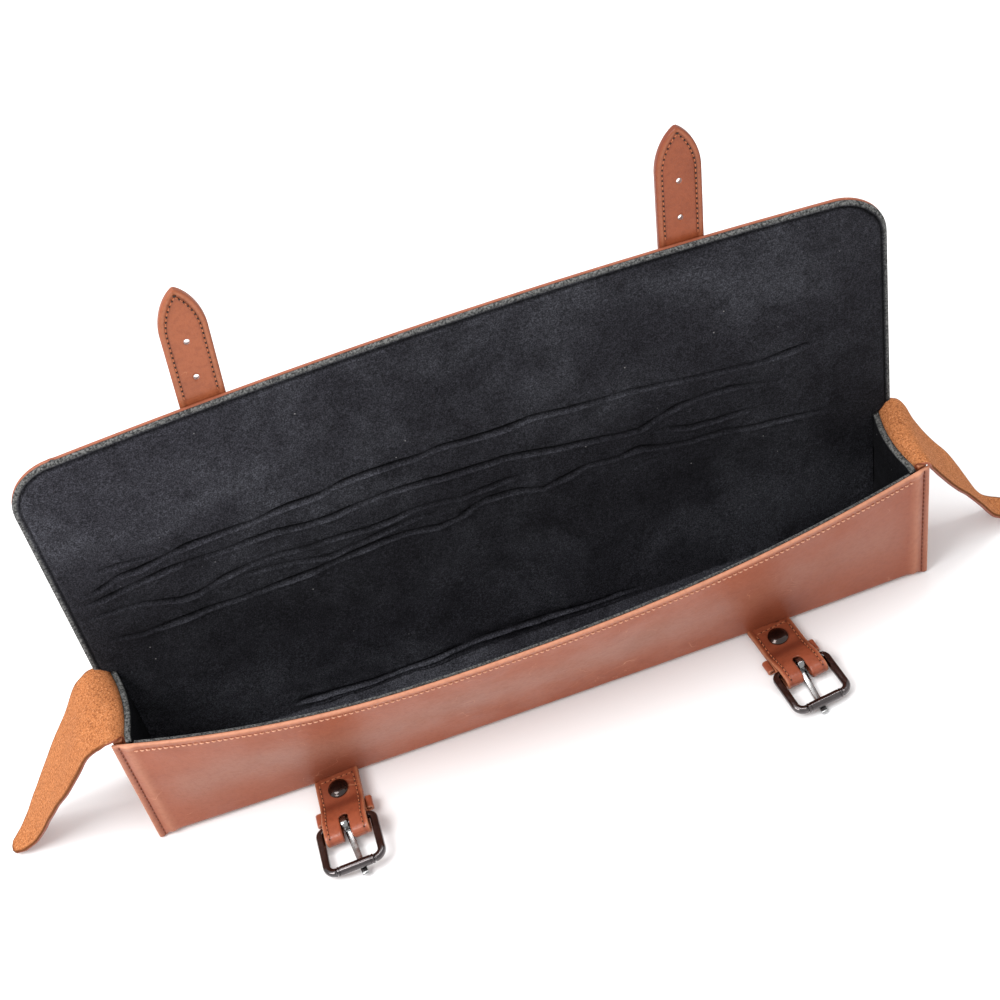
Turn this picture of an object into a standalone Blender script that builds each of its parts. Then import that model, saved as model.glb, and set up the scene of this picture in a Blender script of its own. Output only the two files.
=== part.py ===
# Leather cover for a flute case, standing open on its underside.
# One leather sheet makes the front wall, the bottom, the back wall and the flap.
# A felt lining follows the sheet, and an end panel with a drooping ear closes each end.
# Two straps sit on the flap, and two buckles hang from tabs at the foot of the front wall.
# The origin is at the middle of the underside: X runs along the case, Y to the back, Z up.

import math

import bmesh
import bpy
from mathutils import Matrix, Vector

for old in list(bpy.data.objects):
    bpy.data.objects.remove(old, do_unlink=True)

# Sheet, in metres
SHEET_LENGTH = 0.436
BODY_DEPTH = 0.051
BODY_HEIGHT = 0.0865
FLAP_LENGTH = 0.145
LEATHER = 0.0022
FELT = 0.0030
GAP = 0.0003
LINING_GAP = 0.0006
FOLD_RADIUS = 0.0062
FLAP_CORNER_RADIUS = 0.026
FLAP_LEAN = math.radians(2.1)

# Sag of the empty case: the front wall leans out, the flap bows back
FRONT_BOW = 0.026
FRONT_BOW_PEAK = -0.030
FRONT_BOW_POWER = 2.4
FOOT_BOW = 0.0025
FLAP_BOW = 0.0085
FLAP_BOW_PEAK = 0.010

# End panels and ears
END_INSET = 0.0050
END_HOLLOW = 0.0025
LIP_SETBACK = 0.0003
EAR_REACH = 0.082
EAR_WIDTH = 0.042
EAR_ROOT_WIDTH = 0.0394
EAR_ROOT_SHIFT = -0.0005

# Straps on the flap
STRAP_WIDTH = 0.0225
STRAP_THICKNESS = 0.0036
STRAP_OFFSET = 0.1182
STRAP_FREE_LENGTH = 0.064
STRAP_HELD_LENGTH = 0.088
STRAP_TIP_LENGTH = 0.024
STRAP_HOLE_DIAMETER = 0.0030
STRAP_HOLE_FIRST = 0.030
STRAP_HOLE_PITCH = 0.021

# Tabs at the foot of the front wall
TAB_WIDTH = 0.0242
TAB_THICKNESS = 0.0034
TAB_LAYER = 0.0016
TAB_ROOT_HEIGHT = 0.0026
TAB_ROOT_DEPTH = 0.0012
TAB_RIVET_RISE = 0.0007
TAB_KEEPER_RISE = 0.0017
TAB_HEEL_DISTANCE = 0.0321
TAB_LOOP_SLACK = 0.0060
TAB_SLOT_WIDTH = 0.0058
TAB_SLOT_START = 0.0275
RIVET_DISTANCE = 0.0098
RIVET_DIAMETER = 0.0110
RIVET_DOME = 0.0024
RIVET_POST = 0.0032
RIVET_FOOT_DIAMETER = 0.0084
RIVET_FOOT_THICKNESS = 0.0007
KEEPER_START = 0.0195
KEEPER_LENGTH = 0.0075
KEEPER_THICKNESS = 0.0015
KEEPER_OVERHANG = 0.0036

# Roller buckles
HEEL_HEIGHT = 0.0056
HEEL_BAR = 0.0036
FRAME_WIRE = 0.0042
FRAME_INNER_WIDTH = 0.0258
FRAME_PITCH = 0.0255
FRAME_HEEL_CORNER = 0.0030
FRAME_FRONT_CORNER = 0.0045
FRAME_TILT = math.radians(1.4)
FRONT_BAR = 0.0029
ROLLER_LENGTH = 0.0200
ROLLER_DIAMETER = 0.0050
ROLLER_BORE = 0.0035
PRONG_WIDTH = 0.0034
PRONG_THICKNESS = 0.0018
PRONG_EYE = 0.0074
PRONG_OVERHANG = 0.0052
PRONG_OFFSET = 0.0005
BAR_CLEARANCE = 0.0004

HALF_LENGTH = SHEET_LENGTH / 2
END_FACE = HALF_LENGTH - END_INSET
FLAP_BOW_REACH = HALF_LENGTH * 0.92

# Each ear's own way down, as shares of the reach, the body height and the ear width;
# sway is how far the back edge hangs lower than the front one, as a share of the ear width
LEFT_EAR = (
    {"out": 0.02, "rise": 0.020, "width": 0.00, "sway": 0.00},
    {"out": 0.07, "rise": 0.034, "width": 0.20, "sway": 0.00},
    {"out": 0.13, "rise": 0.028, "width": 0.80, "sway": 0.00},
    {"out": 0.22, "rise": -0.015, "width": 1.00, "sway": 0.00},
    {"out": 0.35, "rise": -0.190, "width": 0.89, "sway": 0.00},
    {"out": 0.50, "rise": -0.405, "width": 0.78, "sway": 0.00},
    {"out": 0.62, "rise": -0.580, "width": 0.71, "sway": 0.00},
    {"out": 0.74, "rise": -0.745, "width": 0.62, "sway": 0.00},
    {"out": 0.85, "rise": -0.870, "width": 0.50, "sway": 0.00},
    {"out": 0.93, "rise": -0.935, "width": 0.36, "sway": 0.00},
    {"out": 0.98, "rise": -0.962, "width": 0.20, "sway": 0.00},
    {"out": 1.00, "rise": -0.968, "width": 0.06, "sway": 0.00},
)
RIGHT_EAR = (
    {"out": 0.02, "rise": 0.020, "width": 0.00, "sway": 0.00},
    {"out": 0.07, "rise": 0.028, "width": 0.20, "sway": 0.00},
    {"out": 0.12, "rise": -0.012, "width": 0.80, "sway": 0.00},
    {"out": 0.20, "rise": -0.145, "width": 0.98, "sway": -0.06},
    {"out": 0.31, "rise": -0.350, "width": 0.90, "sway": -0.14},
    {"out": 0.41, "rise": -0.520, "width": 0.80, "sway": -0.20},
    {"out": 0.50, "rise": -0.690, "width": 0.72, "sway": -0.22},
    {"out": 0.62, "rise": -0.865, "width": 0.64, "sway": -0.12},
    {"out": 0.76, "rise": -0.948, "width": 0.52, "sway": -0.04},
    {"out": 0.89, "rise": -0.966, "width": 0.36, "sway": 0.00},
    {"out": 0.97, "rise": -0.970, "width": 0.20, "sway": 0.00},
    {"out": 1.00, "rise": -0.970, "width": 0.06, "sway": 0.00},
)

# Each tab's place along the wall as a share of half its length, its turn on the floor, how far
# it rolls and lifts to its right side, the lift as a share of its width, and its prong's skew
TABS = (
    {"side": "left", "along": -0.551, "turn": math.radians(-3.0),
     "roll": math.radians(8.0), "lift": 0.074, "skew": math.radians(7.0)},
    {"side": "right", "along": 0.571, "turn": math.radians(7.5),
     "roll": 0.0, "lift": 0.0, "skew": math.radians(-5.5)},
)

# Each strap's place along the flap's edge and its tilt in the flap's plane
STRAPS = (
    {"side": "left", "along": -STRAP_OFFSET, "tilt": math.radians(4.2)},
    {"side": "right", "along": STRAP_OFFSET, "tilt": math.radians(3.4)},
)

# Colours are linear
COLOURS = {
    "leather": {"rgb": (0.36, 0.115, 0.048), "rough": 0.50, "metal": 0.0},
    "flesh": {"rgb": (0.52, 0.19, 0.065), "rough": 0.90, "metal": 0.0},
    "felt": {"rgb": (0.012, 0.013, 0.016), "rough": 0.95, "metal": 0.0},
    "gunmetal": {"rgb": (0.055, 0.050, 0.052), "rough": 0.28, "metal": 1.0},
    "steel": {"rgb": (0.30, 0.30, 0.31), "rough": 0.22, "metal": 1.0},
    "rivet": {"rgb": (0.020, 0.014, 0.012), "rough": 0.30, "metal": 1.0},
}


def material(name):
    found = bpy.data.materials.get(name)
    if found:
        return found
    made = bpy.data.materials.new(name)
    made.use_nodes = True
    shader = made.node_tree.nodes["Principled BSDF"]
    look = COLOURS[name]
    shader.inputs["Base Color"].default_value = (*look["rgb"], 1.0)
    shader.inputs["Roughness"].default_value = look["rough"]
    shader.inputs["Metallic"].default_value = look["metal"]
    return made


def add_object(name, mesh_data, look, origin=(0.0, 0.0, 0.0), smooth=math.radians(35)):
    """Links a closed bmesh as an object whose origin lies at the given point."""
    bmesh.ops.recalc_face_normals(mesh_data, faces=mesh_data.faces)
    for vertex in mesh_data.verts:
        vertex.co -= Vector(origin)
    mesh = bpy.data.meshes.new(name)
    mesh_data.to_mesh(mesh)
    mesh_data.free()
    mesh.materials.append(material(look))
    made = bpy.data.objects.new(name, mesh)
    made.location = origin
    bpy.context.scene.collection.objects.link(made)
    mesh.shade_smooth()
    mesh.set_sharp_from_angle(angle=smooth)
    return made


def boolean(target, cutter, operation):
    step = target.modifiers.new(cutter.name, "BOOLEAN")
    step.operation = operation
    step.object = cutter
    step.solver = "EXACT"
    cutter.hide_render = True
    cutter.display_type = "WIRE"


def sheet_solid(face, back):
    """Closes two grids of points, the two faces of one sheet, into a solid."""
    made = bmesh.new()
    rows = len(face)
    columns = len(face[0])
    near = [[made.verts.new(p) for p in row] for row in face]
    far = [[made.verts.new(p) for p in row] for row in back]
    for i in range(rows - 1):
        for j in range(columns - 1):
            made.faces.new((near[i][j], near[i + 1][j], near[i + 1][j + 1], near[i][j + 1]))
            made.faces.new((far[i][j], far[i][j + 1], far[i + 1][j + 1], far[i + 1][j]))
    for i in range(rows - 1):
        made.faces.new((near[i][0], far[i][0], far[i + 1][0], near[i + 1][0]))
        made.faces.new((near[i][-1], near[i + 1][-1], far[i + 1][-1], far[i][-1]))
    for j in range(columns - 1):
        made.faces.new((near[0][j], near[0][j + 1], far[0][j + 1], far[0][j]))
        made.faces.new((near[-1][j], far[-1][j], far[-1][j + 1], near[-1][j + 1]))
    return made


def extruded(outline, place, half_width):
    """Extrudes a closed outline to both sides of its plane; place turns (u, v, w) into a point."""
    made = bmesh.new()
    one = [made.verts.new(place(u, -half_width, w)) for u, w in outline]
    two = [made.verts.new(place(u, half_width, w)) for u, w in outline]
    made.faces.new(one)
    made.faces.new(tuple(reversed(two)))
    count = len(outline)
    for k in range(count):
        after = (k + 1) % count
        made.faces.new((one[k], one[after], two[after], two[k]))
    return made


def turned(profile, sides, place):
    """Turns (radius, height) points round an axis; place turns (x, y, height) into a point."""
    made = bmesh.new()
    rings = []
    for radius, height in profile:
        ring = []
        for k in range(sides):
            angle = 2 * math.pi * k / sides
            ring.append(made.verts.new(place(radius * math.cos(angle), radius * math.sin(angle), height)))
        rings.append(ring)
    for low, high in zip(rings, rings[1:]):
        for k in range(sides):
            after = (k + 1) % sides
            made.faces.new((low[k], low[after], high[after], high[k]))
    return made, rings


def arc(radius, start, end, steps):
    """Points round an arc, from one angle to another, both included."""
    angles = [start + (end - start) * k / steps for k in range(steps + 1)]
    return [(radius * math.cos(angle), radius * math.sin(angle)) for angle in angles]


def front_lean(x):
    """How far the top edge of the front wall leans out at x."""
    if x > FRONT_BOW_PEAK:
        away = (x - FRONT_BOW_PEAK) / (HALF_LENGTH - FRONT_BOW_PEAK)
    else:
        away = (FRONT_BOW_PEAK - x) / (HALF_LENGTH + FRONT_BOW_PEAK)
    return FRONT_BOW * (1 - min(1.0, away) ** FRONT_BOW_POWER)


def front_top(x):
    lean = front_lean(x)
    return math.sqrt(BODY_HEIGHT ** 2 - lean ** 2)


def front_foot(x):
    return -BODY_DEPTH / 2 - FOOT_BOW * front_lean(x) / FRONT_BOW


def front_y(x, z):
    """Outer face of the front wall at height z."""
    share = max(0.0, (z - FOLD_RADIUS) / (front_top(x) - FOLD_RADIUS))
    lean = front_lean(x) * (1 - FOOT_BOW / FRONT_BOW)
    return front_foot(x) - lean * share ** 1.1


def back_y(x, z):
    """Outer face of the back wall and the flap at height z."""
    away = min(1.0, abs(x - FLAP_BOW_PEAK) / FLAP_BOW_REACH)
    share = z / (BODY_HEIGHT + FLAP_LENGTH)
    lean = math.tan(FLAP_LEAN) * max(0.0, z - BODY_HEIGHT)
    return BODY_DEPTH / 2 + lean + FLAP_BOW * (1 - away ** 2) * share ** 1.5


# Heights of the rows of the sheet, as shares of each run of it
FRONT_ROWS = (1.0, 0.82, 0.62, 0.42, 0.22)
FOLD_STEPS = 3
BOTTOM_ROWS = (0.33, 0.67)
BACK_ROWS = (0.35, 0.7)
FLAP_ROWS = (0.02, 0.14, 0.28, 0.44, 0.62, 0.78)
FLAP_CORNER_STEPS = 4


def flap_steps():
    """Heights above the hinge of the flap's rows, closer together at its round corners."""
    low = [share * (FLAP_LENGTH - FLAP_CORNER_RADIUS) for share in FLAP_ROWS]
    rise = [FLAP_LENGTH - FLAP_CORNER_RADIUS * (1 - math.sin(k * math.pi / 2 / FLAP_CORNER_STEPS))
            for k in range(FLAP_CORNER_STEPS + 1)]
    return low + rise


def outline(x):
    """Outer face of the sheet at x, from the front wall's top edge to the flap's top edge."""
    radius = FOLD_RADIUS
    foot = front_foot(x)
    heel = BODY_DEPTH / 2
    points = []
    for share in FRONT_ROWS:
        z = radius + (front_top(x) - radius) * share
        points.append((front_y(x, z), z))
    for y, z in arc(radius, math.pi, 1.5 * math.pi, FOLD_STEPS):
        points.append((foot + radius + y, radius + z))
    for share in BOTTOM_ROWS:
        points.append((foot + radius + (heel - foot - 2 * radius) * share, 0.0))
    for y, z in arc(radius, 1.5 * math.pi, 2 * math.pi, FOLD_STEPS):
        points.append((heel - radius + y, radius + z))
    for share in BACK_ROWS:
        z = radius + (BODY_HEIGHT - radius) * share
        points.append((back_y(x, z), z))
    points.append((back_y(x, BODY_HEIGHT), BODY_HEIGHT))
    for step in flap_steps():
        z = BODY_HEIGHT + step * math.cos(FLAP_LEAN)
        points.append((back_y(x, z), z))
    return points


BODY_ROWS = len(outline(0.0)) - len(flap_steps())


def inset(points, depth):
    """Moves an open outline to its inner side by a depth."""
    moved = []
    last = len(points) - 1
    for k, (y, z) in enumerate(points):
        before = Vector(points[max(0, k - 1)])
        after = Vector(points[min(last, k + 1)])
        here = Vector((y, z))
        sides = [pair for pair in (here - before, after - here) if pair.length > 1e-9]
        normals = [Vector((-s.y, s.x)).normalized() for s in sides]
        mean = sum(normals, Vector((0.0, 0.0))).normalized()
        stretch = 1.0 / max(0.5, mean.dot(normals[0]))
        moved.append((y + mean.x * depth * stretch, z + mean.y * depth * stretch))
    return moved


def flap_half(row, half):
    """Half length of a row of the sheet, shortened round the flap's corners."""
    steps = flap_steps()
    if row < BODY_ROWS:
        return half
    over = steps[row - BODY_ROWS] - (FLAP_LENGTH - FLAP_CORNER_RADIUS)
    if over <= 0:
        return half
    cut = math.sqrt(max(0.0, FLAP_CORNER_RADIUS ** 2 - over ** 2))
    return half - FLAP_CORNER_RADIUS + cut


def sheet_grid(depth, halves, stations):
    """Grid of one face of the sheet at a depth from its outer face."""
    grid = []
    for k in range(stations + 1):
        share = 2 * k / stations - 1
        column = []
        for row, half in enumerate(halves):
            x = share * half
            y, z = inset(outline(x), depth)[row]
            column.append((x, y, z))
        grid.append(column)
    return grid


STATIONS = 22
ROWS = len(outline(0.0))
LINING_HALF = END_FACE - LEATHER - GAP - FELT - 3 * GAP

# Leather sheet
leather_halves = [flap_half(row, HALF_LENGTH) for row in range(ROWS)]
body_leather = add_object(
    "body_leather",
    sheet_solid(sheet_grid(0.0, leather_halves, STATIONS), sheet_grid(LEATHER, leather_halves, STATIONS)),
    "leather")

# Felt lining of the sheet, narrower between the end panels
lining_halves = []
for row in range(ROWS):
    wide = row > BODY_ROWS
    lining_halves.append(flap_half(row, HALF_LENGTH if wide else LINING_HALF))
body_lining = add_object(
    "body_lining",
    sheet_solid(
        sheet_grid(LEATHER + LINING_GAP, lining_halves, STATIONS),
        sheet_grid(LEATHER + LINING_GAP + FELT, lining_halves, STATIONS)),
    "felt")


def end_hollow(y, z):
    """How far an end panel is drawn in at y and z."""
    across = max(0.0, 1 - (y / (BODY_DEPTH / 2 - LEATHER - FELT - GAP)) ** 2)
    return END_HOLLOW * across * (z / BODY_HEIGHT) ** 1.5


PANEL_ROWS = (0.0, 0.35, 0.7, 0.965, 0.993)
PANEL_COLUMNS = 8


def end_panel(side, ear):
    """End panel with its ear: rows from the bottom up, then out along the ear."""
    edge = 1.45 * LEATHER + LINING_GAP
    rows = []
    for share in PANEL_ROWS:
        z = edge + (BODY_HEIGHT - edge) * share
        low = front_y(side * END_FACE, z) + edge
        high = back_y(side * END_FACE, z) - edge
        if share == PANEL_ROWS[-1]:
            low = EAR_ROOT_SHIFT - EAR_ROOT_WIDTH / 2
            high = EAR_ROOT_SHIFT + EAR_ROOT_WIDTH / 2
        row = []
        for k in range(PANEL_COLUMNS + 1):
            y = low + (high - low) * k / PANEL_COLUMNS
            row.append(Vector((side * (END_FACE - LEATHER / 2 - end_hollow(y, z)), y, z)))
        rows.append(row)
    for step in ear:
        if step["out"] < 0.1:
            width = EAR_ROOT_WIDTH
            middle = EAR_ROOT_SHIFT
        else:
            width = EAR_WIDTH * step["width"]
            middle = 0.0
            if step["width"] == 0.80 and step["out"] < 0.2:
                width = EAR_ROOT_WIDTH
                middle = EAR_ROOT_SHIFT
        row = []
        for k in range(PANEL_COLUMNS + 1):
            share = 2 * k / PANEL_COLUMNS - 1
            y = middle + width / 2 * share
            z = BODY_HEIGHT * (1 + step["rise"]) + EAR_WIDTH * step["sway"] * share / 2
            fade = max(0.0, 1 - step["out"] / 0.3)
            draw = end_hollow(y, BODY_HEIGHT) * fade
            x = side * (END_FACE - LEATHER / 2 + EAR_REACH * step["out"] - draw)
            row.append(Vector((x, y, z)))
        rows.append(row)
    return thickened(rows, LEATHER)


def thickened(grid, thickness):
    """Gives a grid of points a thickness, half to each side."""
    rows = len(grid)
    columns = len(grid[0])
    near = []
    far = []
    for i in range(rows):
        near.append([])
        far.append([])
        for j in range(columns):
            along = grid[min(rows - 1, i + 1)][j] - grid[max(0, i - 1)][j]
            across = grid[i][min(columns - 1, j + 1)] - grid[i][max(0, j - 1)]
            normal = along.cross(across).normalized()
            near[i].append(grid[i][j] + normal * thickness / 2)
            far[i].append(grid[i][j] - normal * thickness / 2)
    return sheet_solid(near, far)


def lip_band(side):
    """Turned-out edge of an end panel, lying on the inner face of the sheet."""
    inner = side * (END_FACE - LEATHER * 0.6)
    outer = side * (HALF_LENGTH - LIP_SETBACK)
    faces = []
    for depth in (LEATHER + LINING_GAP, 2 * LEATHER + LINING_GAP):
        grid = []
        for x in (inner, outer):
            points = inset(outline(x), depth)[:BODY_ROWS]
            grid.append([Vector((x, y, min(z, BODY_HEIGHT))) for y, z in points])
        faces.append(grid)
    return sheet_solid(faces[0], faces[1])


def end_lining(side):
    """Felt on the inner face of an end panel."""
    face = []
    back = []
    low_z = LEATHER + GAP
    for share in (0.0, 0.35, 0.7, 1.0):
        z = low_z + FOLD_RADIUS * 0.5 + (BODY_HEIGHT - low_z - FOLD_RADIUS * 0.5 - GAP) * share
        if share == 0.0:
            z = low_z + GAP
        margin = LEATHER + 2 * GAP + (FOLD_RADIUS * 0.5 if share == 0.0 else 0.0)
        low = front_y(side * END_FACE, z) + margin
        high = back_y(side * END_FACE, z) - margin
        near = []
        far = []
        for k in range(PANEL_COLUMNS + 1):
            y = low + (high - low) * k / PANEL_COLUMNS
            x = END_FACE - LEATHER - GAP - end_hollow(y, z)
            near.append((side * x, y, z))
            far.append((side * (x - FELT), y, z))
        face.append(near)
        back.append(far)
    return sheet_solid(face, back)


for side_name, side, ear in (("left", -1, LEFT_EAR), ("right", 1, RIGHT_EAR)):
    panel = add_object("end_panel_" + side_name, end_panel(side, ear), "leather")
    panel.data.materials.append(material("flesh"))
    band = add_object("guide_lip_" + side_name, lip_band(side), "leather")
    boolean(panel, band, "UNION")
    add_object("end_lining_" + side_name, end_lining(side), "felt")


def strap_half(rise):
    """Half width of a strap at a height above the flap's edge."""
    start = STRAP_FREE_LENGTH - STRAP_TIP_LENGTH
    if rise <= start:
        return STRAP_WIDTH / 2
    share = min(1.0, (rise - start) / STRAP_TIP_LENGTH)
    return STRAP_WIDTH / 2 * max(0.055, (1 - share ** 2) ** 0.72)


def strap_point(strap, across, rise, depth):
    """Point on a strap: across its width, along it from the flap's edge, out from the flap."""
    turn = strap["tilt"]
    x = strap["along"] + across * math.cos(turn) + rise * math.sin(turn)
    run = FLAP_LENGTH + rise * math.cos(turn) - across * math.sin(turn)
    z = BODY_HEIGHT + run * math.cos(FLAP_LEAN)
    edge = BODY_HEIGHT + FLAP_LENGTH * math.cos(FLAP_LEAN)
    y = back_y(x, min(z, edge)) + math.tan(FLAP_LEAN) * max(0.0, z - edge)
    return Vector((x, y + GAP + depth, z - depth * math.sin(FLAP_LEAN)))


STRAP_ROWS = (-1.0, -0.65, -0.3, 0.0)
STRAP_FREE_ROWS = (0.22, 0.44)
STRAP_TIP_ROWS = (0.0, 0.3, 0.55, 0.75, 0.9, 1.0)
STRAP_COLUMNS = 6

for strap in STRAPS:
    rises = [STRAP_HELD_LENGTH * share for share in STRAP_ROWS]
    start = STRAP_FREE_LENGTH - STRAP_TIP_LENGTH
    rises += [STRAP_FREE_LENGTH * share for share in STRAP_FREE_ROWS]
    rises += [start + STRAP_TIP_LENGTH * share for share in STRAP_TIP_ROWS]
    faces = []
    for depth in (0.0, STRAP_THICKNESS):
        grid = []
        for rise in rises:
            half = strap_half(rise)
            grid.append([
                strap_point(strap, half * (2 * k / STRAP_COLUMNS - 1), rise, depth)
                for k in range(STRAP_COLUMNS + 1)])
        faces.append(grid)
    made = add_object("strap_" + strap["side"], sheet_solid(faces[0], faces[1]), "leather")
    for number in range(2):
        rise = STRAP_FREE_LENGTH - STRAP_HOLE_FIRST - number * STRAP_HOLE_PITCH
        middle = strap_point(strap, 0.0, rise, 0.0)
        punch, rings = turned(
            ((STRAP_HOLE_DIAMETER / 2, -STRAP_THICKNESS), (STRAP_HOLE_DIAMETER / 2, 2 * STRAP_THICKNESS)),
            12, lambda a, b, c, m=middle: m + Vector((a, c, b)))
        for ring in rings:
            punch.faces.new(ring)
        cutter = add_object("guide_hole_%s_%d" % (strap["side"], number), punch, "leather")
        boolean(made, cutter, "DIFFERENCE")


def loop_outline(radius):
    """Round end of the loop beyond the heel bar, from its high side to its low side."""
    points = []
    for u, w in arc(radius, math.radians(90), math.radians(-90), 8):
        points.append((TAB_HEEL_DISTANCE + TAB_LOOP_SLACK + u, HEEL_HEIGHT + w))
    return points


def tab_outline():
    """Side view of a tab: along from the wall and up from the floor, folded round the heel bar."""
    half = TAB_THICKNESS / 2
    eye = HEEL_BAR / 2 + BAR_CLEARANCE + TAB_LAYER
    rivet_low = RIVET_DISTANCE - RIVET_DIAMETER / 2
    rivet_high = RIVET_DISTANCE + RIVET_DIAMETER / 2
    keeper_end = KEEPER_START + KEEPER_LENGTH
    middle = (
        (-TAB_ROOT_DEPTH, TAB_ROOT_HEIGHT),
        (0.0, TAB_ROOT_HEIGHT),
        (rivet_low, TAB_ROOT_HEIGHT + TAB_RIVET_RISE),
        (rivet_high, TAB_ROOT_HEIGHT + TAB_RIVET_RISE),
        (KEEPER_START, TAB_ROOT_HEIGHT + TAB_KEEPER_RISE))
    points = [(u, w + half) for u, w in middle]
    points.append((keeper_end - eye * 0.6, middle[-1][1] + half + eye * 0.12))
    points.append((TAB_HEEL_DISTANCE - eye * 0.8, HEEL_HEIGHT + eye * 0.78))
    points.append((TAB_HEEL_DISTANCE, HEEL_HEIGHT + eye))
    points += loop_outline(eye)
    points.append((TAB_HEEL_DISTANCE, HEEL_HEIGHT - eye))
    points.append((keeper_end + GAP, middle[-1][1] - half))
    points += [(u, w - half) for u, w in reversed(middle)]
    return points


def bore_outline():
    """Side view of the space inside a tab's loop, in which the heel bar lies."""
    radius = HEEL_BAR / 2 + BAR_CLEARANCE
    points = loop_outline(radius)
    for u, w in arc(radius, math.radians(-90), math.radians(-270), 8):
        points.append((TAB_HEEL_DISTANCE + u, HEEL_HEIGHT + w))
    return points


def keeper_outline():
    """End view of a keeper: a flat loop under the tab whose ends meet the tab's sides."""
    start = TAB_WIDTH / 2 + GAP
    thick = KEEPER_THICKNESS
    wide = TAB_WIDTH / 2 + KEEPER_OVERHANG
    low = 2 * GAP
    high = TAB_ROOT_HEIGHT + TAB_KEEPER_RISE
    bend = 1.4 * thick
    middle = (low + high) / 2
    outer = [(start, high), (wide - thick, high), (wide, high - thick), (wide, low + thick)]
    outer.append((wide - thick, low))
    inner = [(start, high - thick), (wide - bend, high - thick), (wide - thick, middle)]
    inner.append((wide - bend, low + thick))
    left_outer = [(-v, w) for v, w in reversed(outer)]
    left_inner = [(-v, w) for v, w in inner]
    return outer + left_outer + left_inner + list(reversed(inner))


def frame_path():
    """Centre line of the buckle's wire with its radius, as a closed loop through both bars."""
    side = (FRAME_INNER_WIDTH + FRAME_WIRE) / 2
    wire = FRAME_WIRE / 2
    bar = HEEL_BAR / 2
    neck = ROLLER_LENGTH / 2 + GAP
    half = [(0.0, side - FRAME_HEEL_CORNER, bar)]
    for k in range(1, 5):
        angle = k * math.pi / 8
        u = FRAME_HEEL_CORNER * (1 - math.cos(angle))
        v = side - FRAME_HEEL_CORNER * (1 - math.sin(angle))
        half.append((u, v, bar + (wire - bar) * k / 4))
    for k in range(5):
        angle = k * math.pi / 8
        u = FRAME_PITCH - FRAME_FRONT_CORNER * (1 - math.sin(angle))
        v = side - FRAME_FRONT_CORNER * (1 - math.cos(angle))
        half.append((u, v, wire))
    half.append((FRAME_PITCH, neck, FRONT_BAR / 2))
    return half + [(u, -v, radius) for u, v, radius in reversed(half)]


def wire_loop(path, sides, place):
    """Sweeps a round section of changing radius along a closed path in the (u, v) plane."""
    made = bmesh.new()
    rings = []
    count = len(path)
    for k, (u, v, radius) in enumerate(path):
        before = path[k - 1]
        after = path[(k + 1) % count]
        tangent = Vector((after[0] - before[0], after[1] - before[1])).normalized()
        if abs(u - FRAME_PITCH) < 1e-9 or u == 0.0:
            tangent = Vector((0.0, 1.0 if u == 0.0 else -1.0))
        normal = Vector((-tangent.y, tangent.x))
        ring = []
        for n in range(sides):
            angle = 2 * math.pi * n / sides
            reach = radius * math.cos(angle)
            point = place(u + normal.x * reach, v + normal.y * reach, radius * math.sin(angle))
            ring.append(made.verts.new(point))
        rings.append(ring)
    for k in range(count):
        one = rings[k]
        two = rings[(k + 1) % count]
        for n in range(sides):
            after = (n + 1) % sides
            made.faces.new((one[n], one[after], two[after], two[n]))
    return made


def prong_outline():
    """Side view of a prong: an eye round the heel bar and a shank that passes under the roller."""
    eye = PRONG_EYE / 2
    top = -(ROLLER_DIAMETER / 2 + GAP)
    low = top - PRONG_THICKNESS
    tip = FRAME_PITCH + PRONG_OVERHANG
    points = arc(eye, math.radians(-28), math.radians(262), 12)
    points.append((FRAME_PITCH, low))
    thick = PRONG_THICKNESS
    points.append((tip - thick * 0.67, low + thick * 0.11))
    points.append((tip, low + thick * 0.44))
    points.append((tip, top - thick * 0.28))
    points.append((tip - thick * 0.56, top))
    points.append((FRAME_PITCH - ROLLER_DIAMETER * 0.7, top))
    return points


def rivet_profile():
    """Half section of a rivet from its foot up to the dome, as (radius, height) from the tab's middle."""
    top = TAB_THICKNESS / 2 + GAP
    low = -top
    foot_low = low - RIVET_FOOT_THICKNESS
    cap = RIVET_DIAMETER / 2
    foot = RIVET_FOOT_DIAMETER / 2
    post = RIVET_POST / 2
    return (
        (foot * 0.8, foot_low), (foot, foot_low + RIVET_FOOT_THICKNESS * 0.4), (foot, low), (post, low),
        (post, top), (cap, top), (cap, top + RIVET_DOME * 0.3), (cap * 0.88, top + RIVET_DOME * 0.52),
        (cap * 0.62, top + RIVET_DOME * 0.82), (cap * 0.3, top + RIVET_DOME))


def tube(place, radius, half):
    """Plain round cutter across a tab; place turns (u, v, w) into a point."""
    made, rings = turned(((radius, -half), (radius, half)), 16, lambda a, b, c: place(a, c, b))
    for ring in rings:
        made.faces.new(ring)
    return made


def block(place, u_range, half_width, w_range):
    outline_points = [(u_range[0], w_range[0]), (u_range[1], w_range[0])]
    outline_points += [(u_range[1], w_range[1]), (u_range[0], w_range[1])]
    return extruded(outline_points, place, half_width)


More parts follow.
